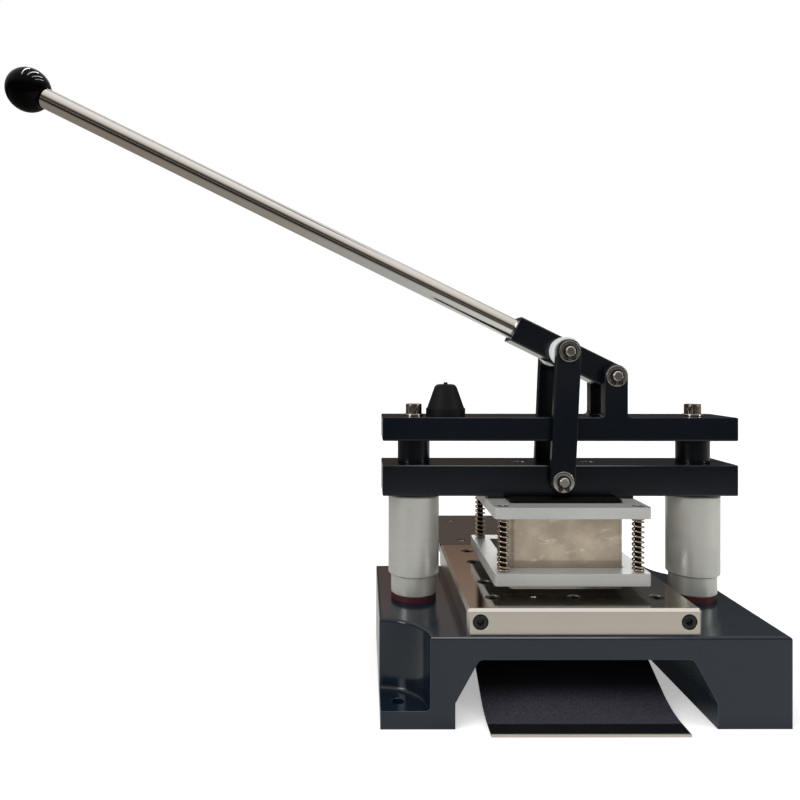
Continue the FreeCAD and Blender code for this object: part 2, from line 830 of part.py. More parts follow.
def column(side, sign):
    """Guide post with the fixed sleeves around it and the housing and bush that slide on it."""
    x = f"{sign}column_x"
    post_radius = "post_diameter / 2"
    fit = f"{post_radius} + fit_gap"

    post = Piece(f"{side}_guide_post", x, "press_y")
    foot = "base_height - post_seat"
    post.turned(
        "XZ",
        "Z",
        ("0", foot),
        (f"{post_radius} - post_chamfer", foot),
        (post_radius, f"{foot} + post_chamfer"),
        (post_radius, "top_bottom - post_chamfer"),
        (f"{post_radius} - post_chamfer", "top_bottom"),
        ("0", "top_bottom"),
    )
    thread = circle("0", "0", "large_screw + 2 * fit_gap")
    post.pocket("XY", "top_bottom", "post_thread_depth", thread)
    post.pocket("XY", f"{foot} + post_thread_depth", "post_thread_depth", thread)

    collar = Piece(f"{side}_collar", x, "press_y")
    ring(collar, fit, "gasket_diameter / 2", "gasket_top", "collar_top", "post_chamfer")
    stop = Piece(f"{side}_stop_sleeve", x, "press_y")
    ring(stop, fit, "stop_diameter / 2", "press_top + stop_gap", "top_bottom", "fit_gap")

    bush = Piece(f"{side}_guide_bush", x, "press_y")
    ring(bush, f"{post_radius} + running_gap", "bush_diameter / 2", "skirt_top", "bush_top")
    housing = Piece(f"{side}_bushing_housing", x, "press_y")
    skirt = "gasket_diameter / 2 + skirt_clearance"
    bore = "bush_diameter / 2 + fit_gap"
    outer = "housing_diameter / 2"
    housing.turned(
        "XZ",
        "Z",
        (skirt, "housing_bottom"),
        (f"{outer} - housing_chamfer", "housing_bottom"),
        (outer, "housing_bottom + housing_chamfer"),
        (outer, "housing_top - housing_chamfer"),
        (f"{outer} - housing_chamfer", "housing_top"),
        (bore, "housing_top"),
        (bore, "skirt_top"),
        (skirt, "skirt_top"),
    )


def column_gaskets():
    """Soft rings under both collars."""
    gaskets = Piece("column_gaskets")
    rims = [circle(x, y, "gasket_diameter") for x, y in COLUMNS]
    bores = [circle(x, y, "post_bore") for x, y in COLUMNS]
    gaskets.pad("XY", "base_height", "gasket_height", *rims, *bores)


def column_fasteners():
    """Cap screws and washers at both ends of the guide posts."""
    thread = "post_thread_depth - post_chamfer"
    seat = "large_head_height + head_sink"
    grip = f"base_height - post_seat - ({seat}) + {thread}"
    screws("post_base_screws", "XY", seat, COLUMNS, "large", grip, shank_first=True)
    top_grip = f"large_washer_thickness + top_beam_height + {thread}"
    screws("top_cap_screws", "XY", "top_top + large_washer_thickness", COLUMNS, "large", top_grip)
    washers = Piece("top_washers")
    rims = [circle(x, y, "large_washer") for x, y in COLUMNS]
    washers.pad("XY", "top_top", "large_washer_thickness", *rims, *screw_holes(COLUMNS, "large"))


def beam_box(label, bottom, height, choose):
    """Rectangular beam across both columns with its chosen edges rounded."""
    piece = Piece(label)
    outline = rectangle(
        "-beam_length / 2", "press_y - beam_depth / 2", "beam_length / 2", "press_y + beam_depth / 2"
    )
    piece.pad("XY", bottom, height, outline)
    piece.fillet("beam_edge_radius", choose)
    return piece


def top_beam():
    """Fixed beam on the guide posts with two lugs for the lever's pivot."""

    def end_and_bottom(edge, bounds):
        return not (runs_along(edge, "X") and near(edge.BoundBox.ZMin, bounds.ZMax))

    piece = beam_box("top_beam", "top_bottom", "top_beam_height", end_and_bottom)
    sides = ("pivot_side - lug_width / 2", "pivot_side + lug_width / 2")
    blade = rectangle(sides[0], "top_top - top_beam_height / 2", sides[1], "pivot_z")
    crown = circle("pivot_side", "pivot_z", "lug_width")
    for start in ("press_y - beam_depth / 2 + lug_thickness", "press_y + beam_depth / 2"):
        piece.pad("XZ", start, "lug_thickness", blade)
        piece.pad("XZ", start, "lug_thickness", crown)
    top = numbers(height="top_top")["height"]
    thickness = SIZES["lug_thickness"]

    def lug_root(edge, bounds):
        level = near(edge.BoundBox.ZMin, top) and runs_along(edge, "Y")
        return level and near(edge.BoundBox.YLength, thickness)

    piece.fillet("lug_root_radius", lug_root)
    pin_hole = circle("pivot_side", "pivot_z", "pin_diameter + 2 * fit_gap")
    piece.pocket("XZ", "press_y - beam_depth / 2", "beam_depth", pin_hole)
    piece.pocket("XY", "top_top", "top_beam_height", *screw_holes(COLUMNS, "large"))
    sunk = "small_head_height + head_sink"
    piece.pocket("XY", f"top_bottom + {sunk}", sunk, *head_holes(BUMPER_SCREW, "small"))
    piece.pocket("XY", "top_top", "top_beam_height", *screw_holes(BUMPER_SCREW, "small"))


def press_beam():
    """Moving beam that carries the sleeves, the holder plate and the punch."""
    piece = beam_box("press_beam", "press_bottom", "press_beam_height", every_edge)
    bosses = [circle(x, y, "boss_diameter") for x, y in COLUMNS]
    piece.pad("XY", "press_bottom - boss_height", "boss_height", *bosses)
    bores = [circle(x, y, "bush_diameter + 2 * fit_gap") for x, y in COLUMNS]
    piece.pocket("XY", "bush_top", "bush_engagement + boss_height", *bores)
    reliefs = [circle(x, y, "post_diameter + 2 * skirt_clearance") for x, y in COLUMNS]
    piece.pocket("XY", "press_top", "press_beam_height", *reliefs)
    pin_hole = circle("0", "lower_pivot_z", "pin_diameter + 2 * fit_gap")
    piece.pocket("XZ", "press_y - beam_depth / 2", "beam_depth", pin_hole)
    piece.pocket("XY", "press_top", "large_head_height + head_sink", *head_holes(PUNCH_SCREWS, "large"))
    piece.pocket("XY", "press_top", "press_beam_height", *screw_holes(PUNCH_SCREWS, "large"))
    tapped = screw_holes(HOLDER_SCREWS, "small")
    piece.pocket("XY", "press_bottom + holder_screw_grip", "holder_screw_grip", *tapped)


def frame_plate(label, bottom, thickness):
    """Square plate with a window around the punch."""
    piece = Piece(label)
    half = "frame_size / 2"
    piece.pad("XY", bottom, thickness, rectangle(f"-{half}", "frame_front", half, "frame_rear"))
    piece.fillet("frame_corner_radius", upright)
    window = rectangle("-window_half_width", "window_front", "window_half_width", "window_rear")
    piece.pocket("XY", f"{bottom} + {thickness}", thickness, window)
    return piece


def press_tooling():
    """Holder plate, shims, punch and their screws, all fixed under the press beam."""
    holder = frame_plate("punch_holder_plate", "holder_bottom", "holder_thickness")
    passages = [circle(x, y, "stripper_bolt_diameter + 2 * stripper_bolt_gap") for x, y in STRIPPER_BOLTS]
    holder.pocket("XY", "holder_top", "holder_thickness", *passages)
    bolt_heads = [circle(x, y, "stripper_bolt_head + 2 * head_gap") for x, y in STRIPPER_BOLTS]
    holder.pocket("XY", "holder_top", "holder_top - (bolt_seat)", *bolt_heads)
    sunk = "small_head_height + head_sink"
    holder.pocket("XY", f"holder_bottom + {sunk}", sunk, *head_holes(HOLDER_SCREWS, "small"))
    holder.pocket("XY", "holder_top", "holder_thickness", *screw_holes(HOLDER_SCREWS, "small"))

    shims = Piece("holder_shims")
    inner = "(window_half_width + shim_border)"
    outer = "(frame_size / 2 - shim_border)"
    low = "press_y - beam_depth / 2 + beam_edge_radius"
    high = "press_y + beam_depth / 2 - beam_edge_radius"
    left = rectangle(f"-{outer}", low, f"-{inner}", high)
    right = rectangle(inner, low, outer, high)
    shims.pad("XY", "holder_top", "shim_thickness", left, right, *screw_holes(HOLDER_SCREWS, "small"))

    punch = Piece("punch")
    outline = rectangle(
        "-card_width / 2", "punch_y - card_depth / 2", "card_width / 2", "punch_y + card_depth / 2"
    )
    punch.pad("XY", "punch_bottom", "press_bottom - punch_bottom", outline)
    punch.fillet("card_corner_radius", upright)
    punch.pocket("XY", "press_bottom", "punch_screw_grip", *screw_holes(PUNCH_SCREWS, "large"))

    seat = f"holder_bottom + {sunk}"
    grip = f"press_bottom + holder_screw_grip - ({seat})"
    screws("holder_screws", "XY", seat, HOLDER_SCREWS, "small", grip, shank_first=True)
    punch_seat = "press_top - head_sink - large_head_height"
    punch_grip = f"{punch_seat} - press_bottom + punch_screw_grip"
    screws("punch_screws", "XY", punch_seat, PUNCH_SCREWS, "large", punch_grip)


def stripper():
    """Sprung plate that holds the sheet down, with the bolts that hang it on the holder plate."""
    plate = frame_plate("stripper_plate", "stripper_bottom", "stripper_thickness")
    threads = [circle(x, y, "stripper_bolt_diameter + 2 * fit_gap") for x, y in STRIPPER_BOLTS]
    plate.pocket("XY", "stripper_top", "stripper_bolt_grip", *threads)
    bolts = Piece("stripper_bolts")
    seat = "bolt_seat + sliding_gap"
    shanks = [circle(x, y, "stripper_bolt_diameter") for x, y in STRIPPER_BOLTS]
    heads = [circle(x, y, "stripper_bolt_head") for x, y in STRIPPER_BOLTS]
    sockets = [hexagon(x, y, "stripper_bolt_socket") for x, y in STRIPPER_BOLTS]
    bolts.pad("XY", seat, "stripper_bolt_head_height", *heads)
    foot = "stripper_top - stripper_bolt_grip"
    bolts.pad("XY", foot, f"{seat} - ({foot})", *shanks)
    head_top = f"{seat} + stripper_bolt_head_height"
    bolts.pocket("XY", head_top, "stripper_bolt_head_height / 2", *sockets)


def arc_between(start, corner, end):
    """Arc that touches start-corner at start and corner-end at end, both legs equally long."""
    middle = (start + end) / 2
    reach = corner - middle
    half_chord = (end - start).Length / 2
    half_turn = math.atan2(reach.Length, half_chord)
    rise = reach / reach.Length * (half_chord * math.tan(half_turn / 2))
    return Part.Arc(start, middle + rise, end).toShape()


def two_arcs(start, start_way, end, end_way):
    """Two arcs from start to end that leave and arrive along the given unit vectors."""
    span = end - start
    ways = start_way + end_way
    spread = 2 * (1 - start_way.dot(end_way))
    leg = (math.sqrt(span.dot(ways) ** 2 + spread * span.dot(span)) - span.dot(ways)) / spread
    first_corner = start + start_way * leg
    last_corner = end - end_way * leg
    joint = (first_corner + last_corner) / 2
    return [arc_between(start, first_corner, joint), arc_between(joint, last_corner, end)]


def helix_arcs(radius, rise, turns):
    """Wire of arcs along a left-handed helix about Z that starts at z = 0."""
    spans = SPANS_PER_TURN * turns
    steepness = rise / (2 * math.pi * turns)
    points = []
    ways = []
    for step in range(spans + 1):
        angle = 2 * math.pi * step / SPANS_PER_TURN
        points.append(FreeCAD.Vector(
            radius * math.cos(angle), -radius * math.sin(angle), steepness * angle
        ))
        way = FreeCAD.Vector(-radius * math.sin(angle), -radius * math.cos(angle), steepness)
        ways.append(way.normalize())
    edges = []
    for step in range(spans):
        edges += two_arcs(points[step], ways[step], points[step + 1], ways[step + 1])
    return Part.Wire(edges)


def least_self_gap(wire, thickness, turns):
    """Least distance between the surfaces of neighbouring turns, measured on points."""
    points = wire.discretize(Number=SAMPLES_PER_TURN * turns)
    apart = SAMPLES_PER_TURN // 2
    least = min(
        (points[later] - points[first]).Length
        for first in range(len(points))
        for later in range(first + apart, min(first + 3 * apart, len(points)))
    )
    return least - thickness


def coil(diameter, wire, turns, room):
    """Tube along a helix that stands on z = 0 and fills the room between its two seats."""
    sizes = numbers(
        radius=f"({diameter} - {wire}) / 2",
        rise=f"{room} - {wire} - 2 * spring_seat_gap",
        lift=f"{wire} / 2 + spring_seat_gap",
    )
    path = helix_arcs(sizes["radius"], sizes["rise"], SIZES[turns])
    start = path.OrderedVertexes[0].Point
    first = path.OrderedEdges[0]
    section = Part.Circle(start, first.tangentAt(first.FirstParameter), SIZES[wire] / 2)
    tube = path.makePipeShell([Part.Wire([section.toShape()])], True, False)
    tube.translate(FreeCAD.Vector(0, 0, sizes["lift"]))
    print(diameter, "least gap between turns", round(least_self_gap(path, SIZES[wire], SIZES[turns]), 3))
    return tube


def standing(tube, x, y, z):
    """Copy of a tube that stands at a place of the press."""
    spot = numbers(x=x, y=y, z=z)
    copy = tube.copy()
    copy.translate(FreeCAD.Vector(spot["x"], spot["y"], spot["z"]))
    return copy


def springs():
    """Four springs around the stripper bolts and two return springs inside the housings."""
    tube = coil("spring_diameter", "spring_wire", "spring_turns", "spring_length")
    for name, x, y in SPRINGS:
        spring = DOC.addObject("Part::Feature", f"{name}_spring")
        spring.Label = f"{name}_spring"
        spring.Shape = standing(tube, x, y, "stripper_top")
    room = "skirt_top - (collar_top)"
    tube = coil("return_spring_diameter", "return_spring_wire", "return_spring_turns", room)
    pair = DOC.addObject("Part::Feature", "return_springs")
    pair.Label = "return_springs"
    pair.Shape = Part.makeCompound([standing(tube, x, y, "collar_top") for x, y in COLUMNS])


def pin_set(name, x, z, face, gap):
    """Pin along Y with a washer and a spring clip at each end.

    face is how far the outermost held face lies from the press plane, and gap the play to it.
    """
    washer_in = f"({face} + {gap})"
    washer_out = f"({washer_in} + washer_thickness)"
    clip_in = f"({washer_out} + fit_gap)"
    clip_out = f"({clip_in} + clip_thickness)"
    end = f"({clip_out} + pin_end)"
    radius = "pin_diameter / 2"
    groove = f"{radius} - clip_groove_depth"
    pin = Piece(f"{name}_pin", x, "press_y", z)
    pin.turned(
        "YZ",
        "Y",
        (f"-{end}", "0"),
        (f"-{end}", f"{radius} - pin_chamfer"),
        (f"pin_chamfer - {end}", radius),
        (f"-{clip_out} - fit_gap", radius),
        (f"-{clip_out} - fit_gap", groove),
        (f"-{washer_out}", groove),
        (f"-{washer_out}", radius),
        (washer_out, radius),
        (washer_out, groove),
        (f"{clip_out} + fit_gap", groove),
        (f"{clip_out} + fit_gap", radius),
        (f"{end} - pin_chamfer", radius),
        (end, f"{radius} - pin_chamfer"),
        (end, "0"),
    )
    washers = Piece(f"{name}_washers", x, "press_y", z)
    washer = [circle("0", "0", "washer_diameter"), circle("0", "0", "pin_diameter + 2 * running_gap")]
    clips = Piece(f"{name}_clips", x, "press_y", z)
    band = [circle("0", "0", "clip_diameter"), circle("0", "0", f"2 * ({groove} + fit_gap)")]
    ears = []
    for sign in ("-", ""):
        ear_x = f"{sign}(clip_opening + clip_ear_diameter) / 2"
        ear_y = "-clip_diameter / 2"
        ears.append(circle(ear_x, ear_y, "clip_ear_diameter"))
        ears.append(circle(ear_x, ear_y, "clip_ear_hole"))
    for start in (f"-{washer_in}", washer_out):
        washers.pad("XZ", start, "washer_thickness", *washer)
    for start in (f"-{clip_in}", clip_out):
        clips.pad("XZ", start, "clip_thickness", *band)
        clips.pad("XZ", start, "clip_thickness", *ears)
    opening = rectangle("-clip_opening / 2", "-clip_diameter", "clip_opening / 2", "0")
    clips.pocket("XZ", f"-{clip_out}", f"2 * {clip_out}", opening)


def lever():
    """Lever block on the pivot pin, with the rod and the knob. Its own X runs along the rod."""
    spot = ("pivot_side", "press_y", "pivot_z", "lever_turn")
    block = Piece("lever_block", *spot)
    half = "lever_block_height / 2"
    thickness = "2 * lever_block_half"
    bar = rectangle("0", f"-{half}", "lever_block_reach", half)
    block.pad("XZ", "lever_block_half", thickness, bar)
    block.pad("XZ", "lever_block_half", thickness, circle("0", "0", "lever_block_height"))
    block.fillet("lever_block_radius", side_outlines)
    block.pocket("XZ", "-lever_block_half", thickness, circle("0", "0", "pin_diameter + 2 * running_gap"))
    block.pocket(
        "XZ", "-lever_block_half", thickness, circle("lever_arm", "0", "pin_diameter + 2 * fit_gap")
    )
    block.pocket("YZ", "lever_block_reach", "rod_insertion", circle("0", "0", "rod_diameter + 2 * fit_gap"))

    rod = Piece("lever_rod", *spot)
    start = "lever_block_reach - rod_insertion"
    radius = "rod_diameter / 2"
    stud = "rod_stud_diameter / 2"
    rod.turned(
        "XZ",
        "X",
        (start, "0"),
        (start, radius),
        ("rod_end - rod_chamfer", radius),
        ("rod_end", f"{radius} - rod_chamfer"),
        ("rod_end", stud),
        ("rod_end + rod_stud_length", stud),
        ("rod_end + rod_stud_length", "0"),
    )
    insert = Piece("knob_insert", *spot)
    insert_end = "rod_end + knob_insert_length"
    bore = f"{stud} + fit_gap"
    outer = "knob_insert_diameter / 2"
    insert.turned("XZ", "X", ("rod_end", bore), ("rod_end", outer), (insert_end, outer), (insert_end, bore))
    knob(spot)


def side_outlines(edge, bounds):
    """Edges that outline the two flat sides, but not those of the square end."""
    return not runs_along(edge, "Y") and not runs_along(edge, "Z")


def knob(spot):
    """Ball knob with a flat and a socket for its insert, in the lever's own frame."""
    ball = DOC.addObject("Part::Sphere", "knob_ball")
    ball.setExpression("Radius", formula("knob_diameter / 2"))
    ball.setExpression("Placement.Base.x", formula("knob_distance"))
    flat = DOC.addObject("Part::Box", "knob_flat_cutter")
    socket = DOC.addObject("Part::Cylinder", "knob_socket_cutter")
    for size, text in (("Length", "knob_diameter"), ("Width", "knob_diameter"), ("Height", "knob_diameter")):
        flat.setExpression(size, formula(text))
    flat.setExpression("Placement.Base.x", formula("rod_end - knob_diameter"))
    flat.setExpression("Placement.Base.y", formula("-knob_diameter / 2"))
    flat.setExpression("Placement.Base.z", formula("-knob_diameter / 2"))
    socket.setExpression("Radius", formula("knob_insert_diameter / 2 + fit_gap"))
    socket.setExpression("Height", formula("knob_insert_length + fit_gap"))
    socket.Placement = FreeCAD.Placement(
        FreeCAD.Vector(), FreeCAD.Rotation(FreeCAD.Vector(0, 0, 1), FreeCAD.Vector(1, 0, 0))
    )
    socket.setExpression("Placement.Base.x", formula("rod_end"))
    flattened = DOC.addObject("Part::Cut", "knob_flattened")
    flattened.Base = ball
    flattened.Tool = flat
    made = DOC.addObject("Part::Cut", "lever_knob")
    made.Label = "lever_knob"
    made.Base = flattened
    made.Tool = socket
    x, y, z, turn = [formula(text) for text in spot]
    about = f"create(<<rotation>>; create(<<vector>>; 0; 1; 0); {turn})"
    made.setExpression("Placement", f"create(<<placement>>; create(<<vector>>; {x}; {y}; {z}); {about})")


def link(label, start):
    """Flat link with round ends. Its own Z runs from the lower pivot to the crank pivot."""
    piece = Piece(label, "0", "press_y", "lower_pivot_z", "link_lean")
    half = "link_width / 2"
    piece.pad("XZ", start, "link_thickness", rectangle(f"-{half}", "0", half, "link_length"))
    piece.pad("XZ", start, "link_thickness", circle("0", "0", "link_width"))
    piece.pad("XZ", start, "link_thickness", circle("0", "link_length", "link_width"))
    piece.fillet("link_edge_radius", face_rims)
    far = f"{start} - link_thickness"
    piece.pocket("XZ", far, "link_thickness", circle("0", "0", "pin_diameter + 2 * running_gap"))
    piece.pocket("XZ", far, "link_thickness", circle("0", "link_length", "pin_diameter + 2 * link_eye_gap"))


def link_spacers():
    """Bushes on the crank pin between the lever block and the links."""
    piece = Piece("link_spacers", "crank_x", "press_y", "crank_z")
    outline = [circle("0", "0", "spacer_diameter"), circle("0", "0", "pin_diameter + 2 * fit_gap")]
    length = "link_inner - sliding_gap - lever_block_half"
    for start in ("-lever_block_half", "link_inner - sliding_gap"):
        piece.pad("XZ", start, length, *outline)


def bumper():
    """Rubber cone on the top beam that stops the lever, and its screw."""
    piece = Piece("lever_stop_bumper", "-bumper_side", "press_y", "top_top")
    foot = "bumper_diameter / 2"
    crown = "bumper_top_diameter / 2"
    nub = "bumper_nub_diameter / 2"
    top = "bumper_height + bumper_nub_height"
    piece.turned(
        "XZ",
        "Z",
        ("0", "0"),
        (foot, "0"),
        (foot, "bumper_collar"),
        (f"{foot} - bumper_step", "bumper_collar"),
        (crown, "bumper_height"),
        (nub, "bumper_height"),
        (nub, top),
        ("0", top),
    )
    crown_radius = SIZES["bumper_top_diameter"] / 2

    def crown_rim(edge, bounds):
        return edge.Curve.TypeId == "Part::GeomCircle" and near(edge.Curve.Radius, crown_radius)

    piece.fillet("bumper_crown_radius", crown_rim)
    sunk = "(small_head_height + head_sink)"
    hole = f"bumper_screw_length - top_beam_height + {sunk}"
    piece.pocket("XY", hole, hole, circle("0", "0", "small_screw + 2 * fit_gap"))
    length = "bumper_screw_length"
    seat = f"top_bottom + {sunk}"
    screws("bumper_screw", "XY", seat, BUMPER_SCREW, "small", length, shank_first=True)


def build():
    """Build every piece of the press."""
    base_casting()
    bed_plate()
    die_insert()
    bed_fasteners()
    rear_table()
    for side, sign in SIDES:
        table_bracket(side)
    table_fasteners()
    chute()
    for side, sign in SIDES:
        column(side, sign)
    column_gaskets()
    column_fasteners()
    top_beam()
    press_beam()
    press_tooling()
    stripper()
    springs()
    lever()
    link("front_link", "-link_inner")
    link("rear_link", "link_outer")
    link_spacers()
    pin_set("lever_pivot", "pivot_side", "pivot_z", "beam_depth / 2", "fit_gap")
    pin_set("crank", "crank_x", "crank_z", "link_outer", "sliding_gap")
    pin_set("lower_link", "0", "lower_pivot_z", "link_outer", "sliding_gap")
    bumper()


def is_piece(item):
    """Whether a document object is a finished piece, not a step towards one."""
    if item.TypeId == "PartDesign::Body":
        return True
    return item.TypeId.startswith("Part::") and not item.InList


def export():
    """Check every object and write each piece to its own file."""
    DOC.recompute()
    for item in DOC.Objects:
        if "Invalid" in item.State or "Error" in item.State:
            raise RuntimeError(f"{item.Label} is {item.State}")
    pieces = [item for item in DOC.Objects if is_piece(item)]
    for item in pieces:
        if item.Shape.isNull() or not item.Shape.isValid() or not item.Shape.Solids:
            raise RuntimeError(f"{item.Label} has no sound solid")
    os.makedirs("parts", exist_ok=True)
    for item in pieces:
        item.Shape.exportStep(f"parts/{item.Label}.step")
        print(item.Label, len(item.Shape.Solids), round(item.Shape.Volume))
    print(len(pieces), "pieces")


build()
export()
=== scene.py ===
import logging
import math
from dataclasses import dataclass
from enum import Enum
from typing import Any, Union

import bmesh
import bpy
import numpy as np
from mathutils import Matrix


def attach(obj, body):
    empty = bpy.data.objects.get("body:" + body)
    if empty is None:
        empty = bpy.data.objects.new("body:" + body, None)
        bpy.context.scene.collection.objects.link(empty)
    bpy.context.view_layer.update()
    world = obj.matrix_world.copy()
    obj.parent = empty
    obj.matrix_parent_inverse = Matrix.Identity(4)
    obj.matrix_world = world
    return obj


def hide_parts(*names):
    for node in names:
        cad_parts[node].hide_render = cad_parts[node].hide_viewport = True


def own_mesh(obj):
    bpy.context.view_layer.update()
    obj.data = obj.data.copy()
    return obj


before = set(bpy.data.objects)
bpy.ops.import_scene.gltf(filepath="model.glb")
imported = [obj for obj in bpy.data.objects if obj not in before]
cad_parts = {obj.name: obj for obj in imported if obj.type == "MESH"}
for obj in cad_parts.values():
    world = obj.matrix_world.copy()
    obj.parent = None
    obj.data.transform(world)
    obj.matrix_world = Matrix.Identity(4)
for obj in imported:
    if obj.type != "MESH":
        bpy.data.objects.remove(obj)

# Finishes, screws, springs and studio of a hand lever press that cuts plastic cards.
# Everything is in metres, in the frame of the solids: X to the right, Y away from the operator, Z up.

LOG = logging.getLogger("card_press")
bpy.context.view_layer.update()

Colour = tuple[float, float, float]
Vector3 = tuple[float, float, float]
Number = Union["Term", float]
Stops = tuple[tuple[float, Colour], ...]
Span = tuple[float, float, float, float]

MERGE_DISTANCE = 0.0000001
NEARLY_UPRIGHT = 0.9
WIRE_SHARP_ANGLE = 60.0
WELD_DIGITS = 6
ORDER_DIGITS = 4
BUMP_SAMPLES = 4
EDGE_SAMPLES = 6
WHITE: Colour = (1.0, 1.0, 1.0)


class Direction(Enum):
    """A direction of the press that a turned piece points along."""

    UP = (0.0, 0.0, 1.0)
    DOWN = (0.0, 0.0, -1.0)
    FRONT = (0.0, -1.0, 0.0)
    BACK = (0.0, 1.0, 0.0)

    @property
    def along(self) -> int:
        """Index of the coordinate that this direction runs along."""
        return int(np.argmax(np.abs(self.value)))


def basis_along(direction: np.ndarray) -> np.ndarray:
    """Work out two directions square to the given one.

    Args:
        direction: a unit vector.

    Returns:
        Three rows: two cross directions and the given one, right-handed.
    """
    helper = np.array([0.0, 0.0, 1.0]) if abs(direction[2]) < NEARLY_UPRIGHT else np.array([1.0, 0.0, 0.0])
    across = np.cross(helper, direction)
    across = across / np.linalg.norm(across)
    return np.array([across, np.cross(direction, across), direction])


# Shader maths


class Term:
    """An output of a shader that takes part in sums, each of which adds a Math node."""

    def __init__(self, shader: "Shader", socket: bpy.types.NodeSocket) -> None:
        """Keep the shader and the socket."""
        self.shader = shader
        self.socket = socket

    def math(self, operation: str, *values: Number) -> "Term":
        """Add a Math node.

        Args:
            operation: Blender's name of the operation.
            values: its inputs, in order.

        Returns:
            The node's output.
        """
        inputs = dict(enumerate(values))
        return self.shader.node("ShaderNodeMath", {"operation": operation}, inputs)

    def __add__(self, other: Number) -> "Term":
        """Add."""
        return self.math("ADD", self, other)

    def __radd__(self, other: Number) -> "Term":
        """Add, from the right."""
        return self.math("ADD", other, self)

    def __sub__(self, other: Number) -> "Term":
        """Subtract."""
        return self.math("SUBTRACT", self, other)

    def __rsub__(self, other: Number) -> "Term":
        """Subtract this from a number."""
        return self.math("SUBTRACT", other, self)

    def __mul__(self, other: Number) -> "Term":
        """Multiply."""
        return self.math("MULTIPLY", self, other)

    def __rmul__(self, other: Number) -> "Term":
        """Multiply, from the right."""
        return self.math("MULTIPLY", other, self)

    def __truediv__(self, other: Number) -> "Term":
        """Divide."""
        return self.math("DIVIDE", self, other)

    def __abs__(self) -> "Term":
        """Size without its sign."""
        return self.math("ABSOLUTE", self)

    def rise(self, low: float, high: float) -> "Term":
        """Smooth step from 0 at low to 1 at high."""
        settings = {"interpolation_type": "SMOOTHSTEP"}
        return self.shader.node("ShaderNodeMapRange", settings, {0: self, 1: low, 2: high, 3: 0.0, 4: 1.0})

    def between(self, places: Span) -> "Term":
        """One between the second and third place, falling to zero at the first and the last."""
        return self.rise(places[0], places[1]) * (1.0 - self.rise(places[2], places[3]))


